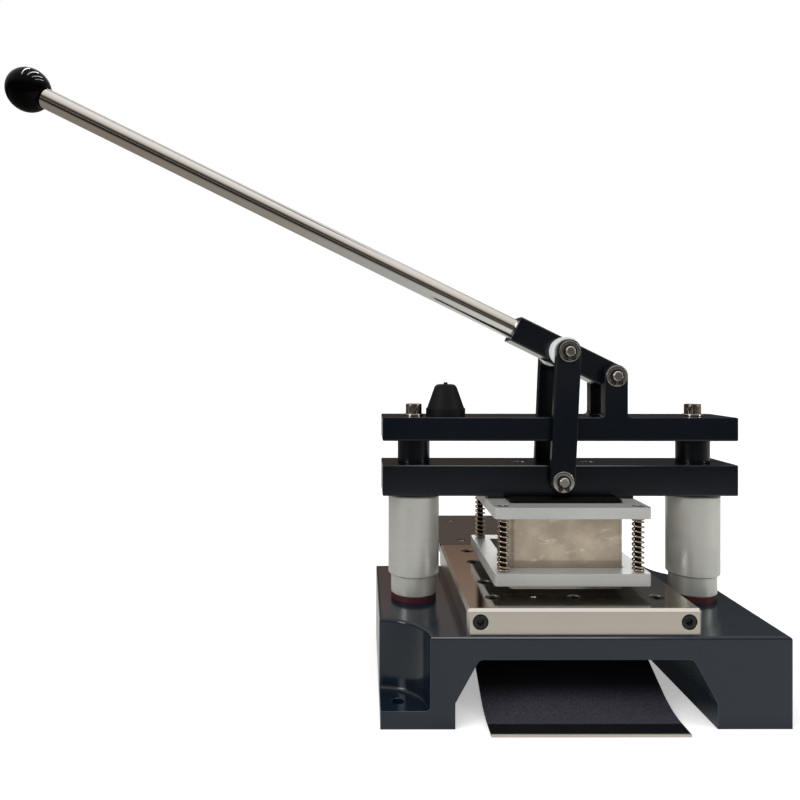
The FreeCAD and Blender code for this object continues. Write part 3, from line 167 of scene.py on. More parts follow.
class Shader:
    """The nodes of one material, or of the surroundings."""

    def __init__(self, owner: Union[bpy.types.Material, bpy.types.World]) -> None:
        """Clear the owner's nodes and leave only an output.

        Args:
            owner: the material or the world.
        """
        owner.use_nodes = True
        self.tree = owner.node_tree
        self.tree.nodes.clear()
        kind = "World" if isinstance(owner, bpy.types.World) else "Material"
        self.output = self.tree.nodes.new("ShaderNodeOutput" + kind)

    def node(
        self,
        kind: str,
        settings: dict[str, Any] | None = None,
        inputs: dict[Union[str, int], Any] | None = None,
        output: Union[str, int] = 0,
    ) -> Term:
        """Add any node.

        Args:
            kind: Blender's name of the node type.
            settings: its own settings, and "stops" for the stops of a ramp.
            inputs: a value or a term for each socket, by name or number.
            output: the output that is wanted, by name or number.

        Returns:
            That output.
        """
        made = self.tree.nodes.new(kind)
        for name, value in (settings or {}).items():
            if name == "stops":
                self.set_stops(made, value)
            else:
                setattr(made, name, value)
        for name, value in (inputs or {}).items():
            if isinstance(value, Term):
                self.tree.links.new(value.socket, made.inputs[name])
            else:
                made.inputs[name].default_value = value
        return Term(self, made.outputs[output])

    def set_stops(self, made: bpy.types.Node, stops: Stops) -> None:
        """Put the stops of a ramp in place of its own two.

        Args:
            made: the ramp's node.
            stops: place and colour of each stop, in order.
        """
        elements = made.color_ramp.elements
        while len(elements) < len(stops):
            elements.new(1.0)
        for element, (place, colour) in zip(elements, stops):
            element.position = place
            element.color = (*colour, 1.0)

    def coordinates(self, centre: Vector3 = (0.0, 0.0, 0.0), stretch: Vector3 = (1.0, 1.0, 1.0)) -> Term:
        """Move and stretch the object coordinates.

        Args:
            centre: the point that becomes zero.
            stretch: what each coordinate is multiplied by.

        Returns:
            The coordinates.
        """
        place = self.node("ShaderNodeTexCoord", output="Object")
        moved = tuple(-middle * factor for middle, factor in zip(centre, stretch))
        return self.node("ShaderNodeMapping", None, {"Vector": place, "Location": moved, "Scale": stretch})

    def noise(self, where: Term, scale: float, detail: float = 3.0, roughness: float = 0.55) -> Term:
        """Soft noise about one half, with that many waves in a metre."""
        inputs = {"Vector": where, "Scale": scale, "Detail": detail, "Roughness": roughness}
        return self.node("ShaderNodeTexNoise", None, inputs)

    def streaks(self, stretch: Vector3, detail: float = 3.0, roughness: float = 0.55) -> Term:
        """Noise with that many waves in a metre along X, Y and Z, such as lines left by a tool."""
        return self.noise(self.coordinates(stretch=stretch), 1.0, detail, roughness)

    def parts_of(self, vector: Term) -> tuple[Term, Term, Term]:
        """Take a vector apart.

        Args:
            vector: the vector.

        Returns:
            Its three numbers.
        """
        split = self.node("ShaderNodeSeparateXYZ", None, {0: vector})
        sockets = split.socket.node.outputs
        return Term(self, sockets[0]), Term(self, sockets[1]), Term(self, sockets[2])

    def facing(self) -> tuple[Term, Term, Term]:
        """How far the surface faces along X, Y and Z of its own object."""
        return self.parts_of(self.node("ShaderNodeTexCoord", output="Normal"))

    def mix(self, factor: Number, low: Any, high: Any) -> Term:
        """Blend two colours.

        Args:
            factor: how far to go from the first to the second.
            low: the colour at factor 0.
            high: the colour at factor 1.

        Returns:
            The blend.
        """
        settings = {"data_type": "RGBA", "clamp_factor": True}
        low = (*low, 1.0) if isinstance(low, tuple) else low
        high = (*high, 1.0) if isinstance(high, tuple) else high
        return self.node("ShaderNodeMix", settings, {0: factor, 6: low, 7: high}, 2)

    def clouded(self, tone: Number, colour: Colour, dark: float, light: float) -> Term:
        """A colour times dark where the tone is 0, and times light where it is 1."""
        return self.mix(tone, shade(colour, dark), shade(colour, light))

    def ramp(self, factor: Term, stops: Stops) -> Term:
        """Colour of a ramp with these stops at a factor."""
        return self.node("ShaderNodeValToRGB", {"stops": stops}, {0: factor})

    def bump(self, height: Term, depth: float, edge: float = 0.0) -> Term:
        """Raise a surface and round its edges.

        Args:
            height: the pattern that rises.
            depth: how far it rises where it is 1.
            edge: radius that the edges seem to have.

        Returns:
            The surface's normal.
        """
        inputs: dict[Union[str, int], Any] = {"Height": height, "Distance": depth, "Strength": 1.0}
        if edge:
            inputs["Normal"] = self.node("ShaderNodeBevel", {"samples": BUMP_SAMPLES}, {"Radius": edge})
        return self.node("ShaderNodeBump", None, inputs)

    def edges(self, radius: float) -> Term:
        """Find the edges, where the rounded normal leaves the true one.

        Args:
            radius: width of the band along an edge.

        Returns:
            One on an edge and zero on flat or gently curved parts.
        """
        rounded = self.node("ShaderNodeBevel", {"samples": EDGE_SAMPLES}, {"Radius": radius})
        true = self.node("ShaderNodeNewGeometry", output="Normal")
        agree = self.node("ShaderNodeVectorMath", {"operation": "DOT_PRODUCT"}, {0: rounded, 1: true}, 1)
        return 1.0 - agree.rise(0.8, 0.98)

    def by_ray(self, kind: str, others: Term, those: Term) -> Term:
        """One shader for rays such as "Is Camera Ray", and one for all others, for the stage alone."""
        return self.node("ShaderNodeMixShader", None, {0: self.ray(kind), 1: others, 2: those})

    def ray(self, kind: str) -> Term:
        """One where a ray is of that kind."""
        return self.node("ShaderNodeLightPath", output=kind)

    def background(self, colour: Any, strength: float) -> Term:
        """Surroundings of a colour, which may be a term."""
        colour = (*colour, 1.0) if isinstance(colour, tuple) else colour
        return self.node("ShaderNodeBackground", None, {"Color": colour, "Strength": strength})

    def finish(self, shown: Term) -> None:
        """Let a shader be what the owner shows."""
        self.tree.links.new(shown.socket, self.output.inputs["Surface"])

    def surface(self, **values: Any) -> None:
        """End the material in a Principled shader.

        Args:
            values: its sockets, named in small letters with underscores; a number is set on the
                socket itself, and a term is linked.
        """
        made = self.tree.nodes.new("ShaderNodeBsdfPrincipled")
        for name, value in values.items():
            socket = made.inputs[SOCKETS[name]]
            if isinstance(value, Term):
                self.tree.links.new(value.socket, socket)
            elif isinstance(value, tuple):
                socket.default_value = (*value, 1.0)
            else:
                socket.default_value = value
        self.tree.links.new(made.outputs[0], self.output.inputs["Surface"])


SOCKETS = {
    "colour": "Base Color",
    "roughness": "Roughness",
    "metallic": "Metallic",
    "normal": "Normal",
    "coat": "Coat Weight",
    "coat_roughness": "Coat Roughness",
    "specular": "Specular IOR Level",
}


def shade(colour: Colour, factor: float) -> Colour:
    """A lighter or darker version of a colour."""
    return tuple(min(1.0, part * factor) for part in colour)


def varied(middle: Number, *swings: tuple[Term, float]) -> Number:
    """Let a value swing about its middle.

    Args:
        middle: the value where every noise is one half.
        swings: each noise, and how far the value goes as that noise goes from 0 to 1.

    Returns:
        The sum of the middle and all swings.
    """
    for noise, reach in swings:
        middle = middle + (noise - 0.5) * reach
    return middle


# Finishes


@dataclass(frozen=True)
class Finish:
    """A finish of the press; each kind says how its surface is painted."""

    name: str
    slot: str

    def paint(self, shader: Shader) -> None:
        """Add the finish's own nodes to a shader."""
        raise NotImplementedError

    def material(self) -> bpy.types.Material:
        """Make the finish's material, or find the one that was made before.

        Returns:
            The material.
        """
        found = bpy.data.materials.get(self.name)
        if found is None:
            found = bpy.data.materials.new(self.name)
            self.paint(Shader(found))
        return found


@dataclass(frozen=True)
class Enamel(Finish):
    """Sprayed semi-gloss enamel over a casting or a steel bar."""

    colour: Colour
    roughness: float
    peel: float
    cast: float
    edge: float
    # Factor that lightens the colour along the edges: a painted highlight.
    edge_highlight: float
    gloss: float = 0.5

    def paint(self, shader: Shader) -> None:
        """Fine orange peel, a slow drift of tone, waviness under the paint, and a painted highlight on the
        edges.

        Args:
            shader: the material's nodes.
        """
        where = shader.coordinates()
        drift = shader.noise(where, scale=9.0, detail=4.0)
        grain = shader.noise(where, scale=420.0, detail=2.0)
        wave = shader.noise(where, scale=60.0, detail=2.0)
        height = grain + wave * (self.cast / self.peel)
        tone = drift.rise(0.3, 0.7) * 0.8 + grain * 0.2
        flat = shader.clouded(tone, self.colour, dark=0.82, light=1.18)
        shader.surface(
            colour=shader.mix(shader.edges(self.edge), flat, shade(self.colour, self.edge_highlight)),
            roughness=varied(self.roughness, (drift, 0.12), (grain, 0.08)),
            normal=shader.bump(height, self.peel, self.edge),
            specular=self.gloss,
        )


@dataclass(frozen=True)
class GroundSteel(Finish):
    """Steel plate ground on its top and milled on its sides, with a painted highlight on its bevels."""

    colour: Colour
    top_roughness: float
    side_roughness: float
    edge: float = 0.0006
    groove: float = 0.000004
    # Pale colour of the sloping bevels: a painted highlight.
    bevel_highlight: Colour = (0.84, 0.81, 0.77)

    def paint(self, shader: Shader) -> None:
        """Grinding lines along X, a duller, slightly clouded milled side, painted shade on the top, painted
        highlight on bevels.

        A bevel faces along two of the three coordinates at once.

        Args:
            shader: the material's nodes.
        """
        where = shader.coordinates()
        lines = shader.streaks((14.0, 2600.0, 2600.0))
        cloud = shader.noise(where, scale=34.0, detail=5.0, roughness=0.6)
        speck = shader.noise(where, scale=900.0, detail=1.0)
        facing = [abs(part) for part in shader.facing()]
        flat = facing[2].rise(0.7, 0.95)
        across, along, up = (part.rise(0.5, 0.6) for part in facing)
        # Mask of the sloping bevels, which get the painted highlight.
        bevel = across * along + along * up + across * up
        tone = cloud * 0.6 + lines * 0.4
        side = shader.clouded(tone, self.colour, dark=0.88, light=1.12)
        # The top is a darker copy of the side's colour: painted shade.
        top = shader.clouded(tone, self.colour, dark=0.62, light=0.8)
        rough = flat * (self.top_roughness - self.side_roughness) + self.side_roughness
        shader.surface(
            colour=shader.mix(bevel, shader.mix(flat, side, top), self.bevel_highlight),
            roughness=varied(rough, (cloud, 0.1), (lines, 0.08)),
            metallic=1.0,
            normal=shader.bump(lines + speck * 0.3, self.groove, self.edge),
        )


@dataclass(frozen=True)
class MottledSteel(Finish):
    """Hardened tool steel with the clouds and stains of heat treatment."""

    colour: Colour
    stain: Colour
    roughness: float
    foot: float
    crown: float
    foot_blur: float = 0.0005
    crown_blur: float = 0.0002
    crown_colour: Colour = (0.006, 0.006, 0.007)
    relief: float = 0.00002
    edge: float = 0.0003

    def paint(self, shader: Shader) -> None:
        """Clouds, pale stains drawn out sideways, dark pin marks and fine upright scratches.

        Below the height foot the steel is darkened as painted shade, and above the height crown it is black.

        Args:
            shader: the material's nodes.
        """
        where = shader.coordinates()
        height = shader.parts_of(where)[2]
        below = 1.0 - height.rise(self.foot - self.foot_blur, self.foot + self.foot_blur)
        above = height.rise(self.crown - self.crown_blur, self.crown + self.crown_blur)
        cloud = shader.noise(where, scale=55.0, detail=6.0, roughness=0.62)
        smear = shader.streaks((48.0, 48.0, 130.0), detail=5.0, roughness=0.65)
        scratch = shader.streaks((1500.0, 1500.0, 12.0), detail=2.0)
        pin = shader.noise(where, scale=260.0, detail=2.0).rise(0.72, 0.78)
        base = shader.clouded(cloud.rise(0.25, 0.75), self.colour, dark=0.72, light=1.12)
        pale = shader.mix(smear.rise(0.54, 0.74) * 0.75, base, self.stain)
        marked = shader.mix(pin * 0.7, pale, shade(self.colour, 0.25))
        # Painted shade: the colour darkens below the height foot.
        foot_shade = shader.mix(below * 0.4, marked, shade(self.colour, 0.4))
        shader.surface(
            colour=shader.mix(above, foot_shade, self.crown_colour),
            roughness=varied(self.roughness, (smear, 0.25)),
            metallic=0.75,
            normal=shader.bump(scratch * 0.5 + cloud * 0.5, self.relief, self.edge),
        )


@dataclass(frozen=True)
class SatinCoat(Finish):
    """Satin grey coating on turned sleeves and milled plates."""

    colour: Colour
    roughness: float
    edge: float
    metallic: float = 0.35
    tooth: float = 0.000012

    def paint(self, shader: Shader) -> None:
        """A fine tooth, faint machining lines under the coat, and a slow drift of tone.

        Args:
            shader: the material's nodes.
        """
        where = shader.coordinates()
        tooth = shader.noise(where, scale=1100.0, detail=2.0)
        drift = shader.noise(where, scale=22.0, detail=4.0)
        lines = shader.streaks((16.0, 16.0, 1100.0), detail=2.0)
        tone = drift * 0.55 + tooth * 0.25 + lines * 0.2
        shader.surface(
            colour=shader.clouded(tone.rise(0.3, 0.7), self.colour, dark=0.9, light=1.08),
            roughness=varied(self.roughness, (tooth, 0.2)),
            metallic=self.metallic,
            normal=shader.bump(tooth + lines * 0.4, self.tooth, self.edge),
        )


@dataclass(frozen=True)
class TurnedSteel(Finish):
    """Bright, black or yellow metal with fine lines from the lathe."""

    colour: Colour
    roughness: float
    metallic: float = 1.0
    stretch: Vector3 = (900.0, 900.0, 900.0)
    depth: float = 0.000006
    edge: float = 0.0003
    dark_below: float = 0.0
    dark_blur: float = 0.0002
    dark_colour: Colour = (0.01, 0.01, 0.011)
    shine: float = 0.5

    def paint(self, shader: Shader) -> None:
        """Fine lines of tone and roughness over a faint cloud, and a dark colour below a height if asked.

        Args:
            shader: the material's nodes.
        """
        lines = shader.streaks(self.stretch)
        where = shader.coordinates()
        cloud = shader.noise(where, scale=90.0, detail=4.0)
        colour = shader.clouded(lines * 0.5 + cloud * 0.5, self.colour, dark=0.8, light=1.15)
        # Below that height the colour is dark.
        if self.dark_below:
            above = shader.parts_of(where)[2].rise(self.dark_below - self.dark_blur, self.dark_below)
            colour = shader.mix(above, self.dark_colour, colour)
        shader.surface(
            colour=colour,
            roughness=varied(self.roughness, (lines, 0.16), (cloud, 0.12)),
            metallic=self.metallic,
            specular=self.shine,
            normal=shader.bump(lines, self.depth, self.edge),
        )


@dataclass(frozen=True)
class Gloss(Finish):
    """Glossy board coating or moulded plastic under a clear top layer."""

    colour: Colour
    roughness: float
    coat: float
    grain: float = 0.000006
    shine: float = 0.5
    edge: float = 0.0004

    def paint(self, shader: Shader) -> None:
        """A slow drift of tone, fine dust and a nearly smooth skin.

        Args:
            shader: the material's nodes.
        """
        where = shader.coordinates()
        drift = shader.noise(where, scale=16.0, detail=4.0)
        dust = shader.noise(where, scale=700.0, detail=3.0, roughness=0.7)
        colour = shader.clouded(drift, self.colour, dark=0.85, light=1.2)
        shader.surface(
            colour=shader.mix(dust.rise(0.68, 0.8) * 0.12, colour, shade(self.colour, 5.0)),
            roughness=varied(self.roughness, (drift, 0.06)) + dust.rise(0.6, 0.8) * 0.12,
            coat=self.coat,
            coat_roughness=0.04,
            specular=self.shine,
            normal=shader.bump(dust, self.grain, self.edge),
        )


@dataclass(frozen=True)
class Matt(Finish):
    """Matt rubber, plastic edging or textured sheet."""

    colour: Colour
    roughness: float
    grain: float = 0.00003
    waves: float = 700.0
    glint: float = 0.0
    gloss: float = 0.4
    edge: float = 0.0003

    def paint(self, shader: Shader) -> None:
        """Even grain with pale specks where the finish is textured.

        Args:
            shader: the material's nodes.
        """
        where = shader.coordinates()
        grain = shader.noise(where, self.waves, detail=3.0, roughness=0.7)
        drift = shader.noise(where, scale=30.0, detail=4.0)
        colour = shader.clouded(drift * 0.5 + grain * 0.5, self.colour, dark=0.75, light=1.3)
        bright = grain.rise(0.56, 0.72) * self.glint
        shader.surface(
            colour=shader.mix(bright, colour, shade(self.colour, 6.0)),
            roughness=varied(self.roughness, (grain, 0.2)),
            normal=shader.bump(grain, self.grain, self.edge),
            specular=self.gloss,
        )


@dataclass(frozen=True)
class ChuteSheet(Finish):
    """Black coated sheet that is smooth on the ramp and lighter grey on its bend."""

    colour: Colour
    bend_grey: Colour
    bend: Span
    roughness: float = 0.5
    gloss: float = 0.3
    grain: float = 0.00003
    edge: float = 0.0003

    def paint(self, shader: Shader) -> None:
        """Close grain with pale specks around the bend, and a velvet black elsewhere.

        The four depths of the bend are where the grey begins, is full, is full still and ends.

        Args:
            shader: the material's nodes.
        """
        where = shader.coordinates()
        bend_share = shader.parts_of(where)[1].between(self.bend)
        weave = shader.streaks((1100.0, 500.0, 500.0), detail=3.0, roughness=0.75)
        drift = shader.noise(where, scale=25.0, detail=4.0)
        speck = weave.rise(0.4, 0.7)
        dark = shader.clouded(drift * 0.6 + speck * 0.4, self.colour, dark=0.5, light=1.8)
        shader.surface(
            # Lighter grey on the bend.
            colour=shader.mix(bend_share * (speck * 0.6 + 0.4), dark, self.bend_grey),
            roughness=varied(self.roughness, (weave, 0.3)),
            normal=shader.bump(weave, self.grain, self.edge),
            specular=self.gloss,
        )


@dataclass(frozen=True)
class Palette:
    """Every finish of the press."""

    casting: Finish = Enamel(
        "slate_enamel",
        "painted",
        (0.0036, 0.0078, 0.0138),
        0.16,
        peel=0.000006,
        cast=0.00001,
        edge=0.0009,
        edge_highlight=7.0,
    )
    bars: Finish = Enamel(
        "blue_black_enamel",
        "painted_dark",
        (0.0018, 0.003, 0.0052),
        0.17,
        peel=0.000005,
        cast=0.0,
        edge=0.0008,
        edge_highlight=10.0,
    )
    bed: Finish = GroundSteel("ground_bed", "ground_steel", (0.60, 0.56, 0.50), 0.1, 0.34)
    die: Finish = GroundSteel("ground_die", "tool_steel", (0.46, 0.43, 0.39), 0.14, 0.3)
    punch: Finish = MottledSteel(
        "mottled_punch", "tool_steel", (0.64, 0.55, 0.44), (0.95, 0.86, 0.72), 0.44, foot=0.1035, crown=0.147
    )
    sleeves: Finish = SatinCoat(
        "grey_sleeve", "grey_coat", (0.52, 0.525, 0.49), 0.34, edge=0.0005, metallic=0.6
    )
    plates: Finish = SatinCoat("grey_plate", "grey_coat", (0.43, 0.435, 0.42), 0.4, edge=0.0007)
    table: Finish = Gloss("brown_board", "board", (0.024, 0.0175, 0.013), 0.3, coat=0.2)
    chute: Finish = ChuteSheet(
        "black_chute",
        "chute_sheet",
        (0.006, 0.0055, 0.0075),
        bend_grey=(0.085, 0.082, 0.11),
        bend=(-0.0825, -0.0805, -0.062, -0.042),
    )
    strip: Finish = Matt("cream_edge", "edge_strip", (0.36, 0.33, 0.27), 0.6)
    gasket: Finish = Matt("red_gasket", "gasket_red", (0.05, 0.006, 0.009), 0.5)
    rubber: Finish = Matt(
        "black_bumper",
        "black_rubber",
        (0.0028, 0.0028, 0.0034),
        0.55,
        grain=0.00002,
        waves=500.0,
        glint=0.1,
        gloss=0.2,
    )
    knob: Finish = Gloss(
        "black_knob", "knob_plastic", (0.0006, 0.0006, 0.0008), 0.05, coat=0.0, grain=0.000001, shine=0.06
    )
    black: Finish = TurnedSteel("black_oxide", "black_steel", (0.01, 0.01, 0.011), 0.34, metallic=0.3)
    collars: Finish = TurnedSteel(
        "black_sleeve",
        "black_steel",
        (0.002, 0.003, 0.0045),
        0.24,
        metallic=0.0,
        stretch=(18.0, 18.0, 1400.0),
        depth=0.000002,
        shine=0.25,
    )
    bright: Finish = TurnedSteel("bright_zinc", "bright_steel", (0.62, 0.59, 0.55), 0.22)
    nylon: Finish = Matt("white_spacer", "white_nylon", (0.82, 0.82, 0.81), 0.45)
    bolts: Finish = TurnedSteel("shoulder_bolt", "bright_steel", (0.8, 0.77, 0.73), 0.3, dark_below=0.1386)
    heads: Finish = TurnedSteel("bronzed_head", "bright_steel", (0.3, 0.25, 0.21), 0.2)
    rod: Finish = TurnedSteel(
        "polished_rod", "polished_rod", (0.76, 0.7, 0.65), 0.07, stretch=(40.0, 900.0, 40.0), depth=0.000002
    )
    wire: Finish = TurnedSteel(
        "spring_wire", "spring_steel", (0.52, 0.43, 0.34), 0.17, stretch=(300.0, 300.0, 300.0)
    )
    bronze: Finish = TurnedSteel("bearing_bronze", "bronze", (0.55, 0.36, 0.18), 0.3)
    brass: Finish = TurnedSteel("turned_brass", "brass_insert", (0.62, 0.46, 0.22), 0.25)


PALETTE = Palette()


# Meshes


def filleted(corners: np.ndarray, radii: np.ndarray, steps: int = 5) -> np.ndarray:
    """Round the inner corners of an open profile.

    A corner with a radius gives way to points on the quadratic curve that starts one radius
    before it, ends one radius after it and has the corner as its control point.

    Args:
        corners: points of the profile, one row each.
        radii: how much of both sides the rounding takes at each corner, zero for a sharp one.
        steps: number of points on each rounding.

    Returns:
        The profile's points, one row each.
    """
    share = np.linspace(0.0, 1.0, steps)[:, None]
    rows = [corners[:1]]
    for before, corner, after, radius in zip(corners[:-2], corners[1:-1], corners[2:], radii[1:-1]):
        if radius <= 0.0:
            rows.append(corner[None])
            continue
        into = before - corner
        away = after - corner
        start = corner + into * radius / np.linalg.norm(into)
        end = corner + away * radius / np.linalg.norm(away)
        rows.append((1 - share) ** 2 * start + 2 * share * (1 - share) * corner + share**2 * end)
    rows.append(corners[-1:])
    return np.concatenate(rows)


def turned(radius: np.ndarray, height: np.ndarray, columns: int) -> np.ndarray:
    """Turn a profile about an axis.

    The point of row i and column j is (radius cos a, radius sin a, height) with a = 2 pi j / columns;
    the radius may be one value a row or one value a point.

    Args:
        radius: distance from the axis.
        height: place along the axis.
        columns: number of points around.

    Returns:
        An array of rows by columns by 3.
    """
    angle = 2 * np.pi * np.arange(columns) / columns
    radius = radius[:, None] if radius.ndim == 1 else radius
    radius = np.broadcast_to(radius, (len(height), columns))
    level = np.broadcast_to(height[:, None], radius.shape)
    return np.stack([radius * np.cos(angle), radius * np.sin(angle), level], axis=2)


def placed(grid: np.ndarray, place: np.ndarray, direction: np.ndarray) -> np.ndarray:
    """Stand a grid that was made about Z on a place, with its Z along a direction."""
    return grid @ basis_along(direction) + place


def grid_faces(rows: int, columns: int, closed_rows: bool) -> np.ndarray:
    """Join the neighbours of a grid, whose columns close on themselves, to four-cornered faces.

    Args:
        rows: number of rows.
        columns: number of columns.
        closed_rows: whether the last row joins the first.

    Returns:
        Four point numbers a face.
    """
    last = rows if closed_rows else rows - 1
    row = np.arange(last)[:, None]
    column = np.arange(columns)[None, :]
    next_row = (row + 1) % rows
    next_column = (column + 1) % columns
    corners = [
        row * columns + column,
        row * columns + next_column,
        next_row * columns + next_column,
        next_row * columns + column,
    ]
    return np.stack([np.broadcast_to(corner, (last, columns)) for corner in corners], axis=2).reshape(-1, 4)


def in_scene(name: str, data: bpy.types.ID) -> bpy.types.Object:
    """Put a new object with this mesh, light or camera into the scene.

    Args:
        name: the object's name.
        data: its mesh, light or camera.

    Returns:
        The object.
    """
    made = bpy.data.objects.new(name, data)
    bpy.context.scene.collection.objects.link(made)
    return made


@dataclass(frozen=True)
class Piece:
    """A piece of the scene: grids of points that become one mesh."""

    name: str
    body: str
    finish: Finish
    grids: list[np.ndarray]
    replaces: tuple[str, ...] = ()
    closed_rows: bool = False
    sharp_above: float = 32.0

    def build(self) -> bpy.types.Object:
        """Make the mesh, close its poles, turn its faces outwards, dress it and let it ride.

        Returns:
            The new object.
        """
        points = []
        faces = []
        count = 0
        for grid in self.grids:
            rows, columns = grid.shape[:2]
            faces.append(grid_faces(rows, columns, self.closed_rows) + count)
            points.append(grid.reshape(-1, 3))
            count += rows * columns
        mesh = bpy.data.meshes.new(self.name)
        mesh.from_pydata(np.concatenate(points), [], np.concatenate(faces))
        work = bmesh.new()
        work.from_mesh(mesh)
        bmesh.ops.remove_doubles(work, verts=work.verts, dist=MERGE_DISTANCE)
        bmesh.ops.recalc_face_normals(work, faces=work.faces)
        work.to_mesh(mesh)
        work.free()
        mesh.polygons.foreach_set("use_smooth", np.ones(len(mesh.polygons), bool))
        mesh.set_sharp_from_angle(angle=math.radians(self.sharp_above))
        mesh.materials.append(self.finish.material())
        made = in_scene(self.name, mesh)
        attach(made, self.body)
        if self.replaces:
            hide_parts(*self.replaces)
        LOG.info("%s: %d faces on %s", self.name, len(mesh.polygons), self.body)
        return made


@dataclass(frozen=True)
class Solid:
    """Box of one separate solid of a CAD node."""

    low: np.ndarray
    high: np.ndarray

    @property
    def centre(self) -> np.ndarray:
        """Middle of the box."""
        return (self.low + self.high) / 2

    @property
    def size(self) -> np.ndarray:
        """Length of the box along each coordinate."""
        return self.high - self.low


def solids_of(node: str) -> list[Solid]:
    """Find the separate solids of a CAD node.

    Corners in one place count as one. Each corner starts with its own label and takes the lowest
    label of its triangles, over and over, until none changes; a label then names a solid.

    Args:
        node: the node's name.

    Returns:
        The solids' boxes, from left to right and front to back.
    """
    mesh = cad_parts[node].data
    mesh.calc_loop_triangles()
    places = np.zeros(len(mesh.vertices) * 3)
    mesh.vertices.foreach_get("co", places)
    corners = np.zeros(len(mesh.loop_triangles) * 3, int)
    mesh.loop_triangles.foreach_get("vertices", corners)
    welded, which = np.unique(np.round(places.reshape(-1, 3), WELD_DIGITS), axis=0, return_inverse=True)
    triangles = which.reshape(-1)[corners].reshape(-1, 3)
    label = np.arange(len(welded))
    settled = False
    while not settled:
        lower = label.copy()
        np.minimum.at(lower, triangles.ravel(), np.repeat(label[triangles].min(axis=1), 3))
        lower = lower[lower]
        settled = bool((lower == label).all())
        label = lower
    found = []
    for name in np.unique(label):
        members = welded[label == name]
        found.append(Solid(members.min(axis=0), members.max(axis=0)))
    return sorted(found, key=lambda solid: tuple(np.round(solid.low, ORDER_DIGITS)))


def dress(finish: Finish, *nodes: str) -> None:
    """Give CAD nodes a finish.

    Args:
        finish: what they are finished in.
        nodes: the nodes' names.
    """
    for node in nodes:
        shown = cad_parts[node]
        for holder in shown.material_slots:
            holder.link = "OBJECT"
            holder.material = finish.material()
        LOG.info("%s: %s", node, finish.name)


@dataclass(frozen=True)
class CapScrew:
    """Socket head cap screw with a knurled head and a hexagon socket."""

    head: float
    head_height: float
    shank: float
    socket: float
    teeth: int = 32
    knurl_depth: float = 0.00018
    bevel_share: float = 0.05
    socket_share: float = 0.5

    def radius_and_height(self, grip: float) -> tuple[np.ndarray, np.ndarray]:
        """Work out the screw's surface about its own axis.

        The radius at an angle is that of a hexagon on the socket's rows, a circle on plain rows,
        and on the knurled rows a circle less knurl_depth times a triangle wave of the angle with
        one wave a tooth. Heights count up from the seat under the head. The factors in the table
        are shares of a radius, of the bevel or of the socket's depth.

        Args:
            grip: length of the shank.

        Returns:
            Radii, one row for each height, and the heights.
        """
        columns = 4 * self.teeth
        angle = 2 * np.pi * np.arange(columns) / columns
        sixth = np.pi / 3
        hexagon = self.socket / 2 / np.cos((angle + sixth / 2) % sixth - sixth / 2)
        wave = np.abs((angle * self.teeth / np.pi) % 2 - 1)
        circle = np.ones(columns)
        outer = self.head / 2
        top = self.head_height
        bevel = self.head * self.bevel_share
        deep = top * self.socket_share
        knurl = circle * outer - self.knurl_depth * wave
        rows = [
            (circle * 0.0, deep * 0.9),
            (hexagon * 0.55, deep * 0.94),
            (hexagon, deep),
            (hexagon, top - bevel * 0.6),
            (circle * self.socket * 0.62, top),
            (circle * (outer - bevel), top),
            (circle * (outer - bevel * 0.3), top - bevel * 0.3),
            (circle * (outer - self.knurl_depth * 0.5), top - bevel),
            (knurl, top - bevel * 1.4),
            (knurl, deep),
            (knurl, bevel * 0.8),
            (circle * (outer - self.knurl_depth), bevel * 0.5),
            (circle * (outer - bevel * 0.5), 0.0),
            (circle * self.shank / 2, 0.0),
            (circle * self.shank / 2, self.shank * 0.1 - grip),
            (circle * self.shank * 0.4, -grip),
            (circle * 0.0, -grip),
        ]
        return np.array([row for row, level in rows]), np.array([level for row, level in rows])

    def grid(self, place: np.ndarray, direction: Direction, grip: float) -> np.ndarray:
        """The screw's surface at a place of the press.

        Args:
            place: middle of the seat under the head.
            direction: the way that the head points.
            grip: length of the shank.

        Returns:
            Its grid of points.
        """
        radius, height = self.radius_and_height(grip)
        surface = turned(radius, height, radius.shape[1])
        return placed(surface, place, np.array(direction.value))

    def group(self, node: str, body: str, finish: Finish, direction: Direction) -> Piece:
        """Screws in the places of a CAD node's solids.

        Args:
            node: the CAD node that they stand for.
            body: the body that it rides on.
            finish: the screws' finish.
            direction: the way that their heads point.

        Returns:
            One piece with all of them.
        """
        along = direction.along
        sign = direction.value[along]
        grids = []
        for solid in solids_of(node):
            crown = solid.high[along] if sign > 0 else solid.low[along]
            seat = solid.centre.copy()
            seat[along] = crown - sign * self.head_height
            grids.append(self.grid(seat, direction, solid.size[along] - self.head_height))
        return Piece(node + "_knurled", body, finish, grids, (node,))


# Screws by thread size
LARGE_SCREW = CapScrew(head=0.013, head_height=0.008, shank=0.008, socket=0.006, teeth=36)
MIDDLE_SCREW = CapScrew(head=0.010, head_height=0.006, shank=0.006, socket=0.005, teeth=32)
SMALL_SCREW = CapScrew(head=0.0085, head_height=0.005, shank=0.005, socket=0.004, teeth=30)
TINY_SCREW = CapScrew(head=0.007, head_height=0.004, shank=0.004, socket=0.003, teeth=24)
BOLT = CapScrew(head=0.008, head_height=0.0032, shank=0.005, socket=0.003, teeth=24)


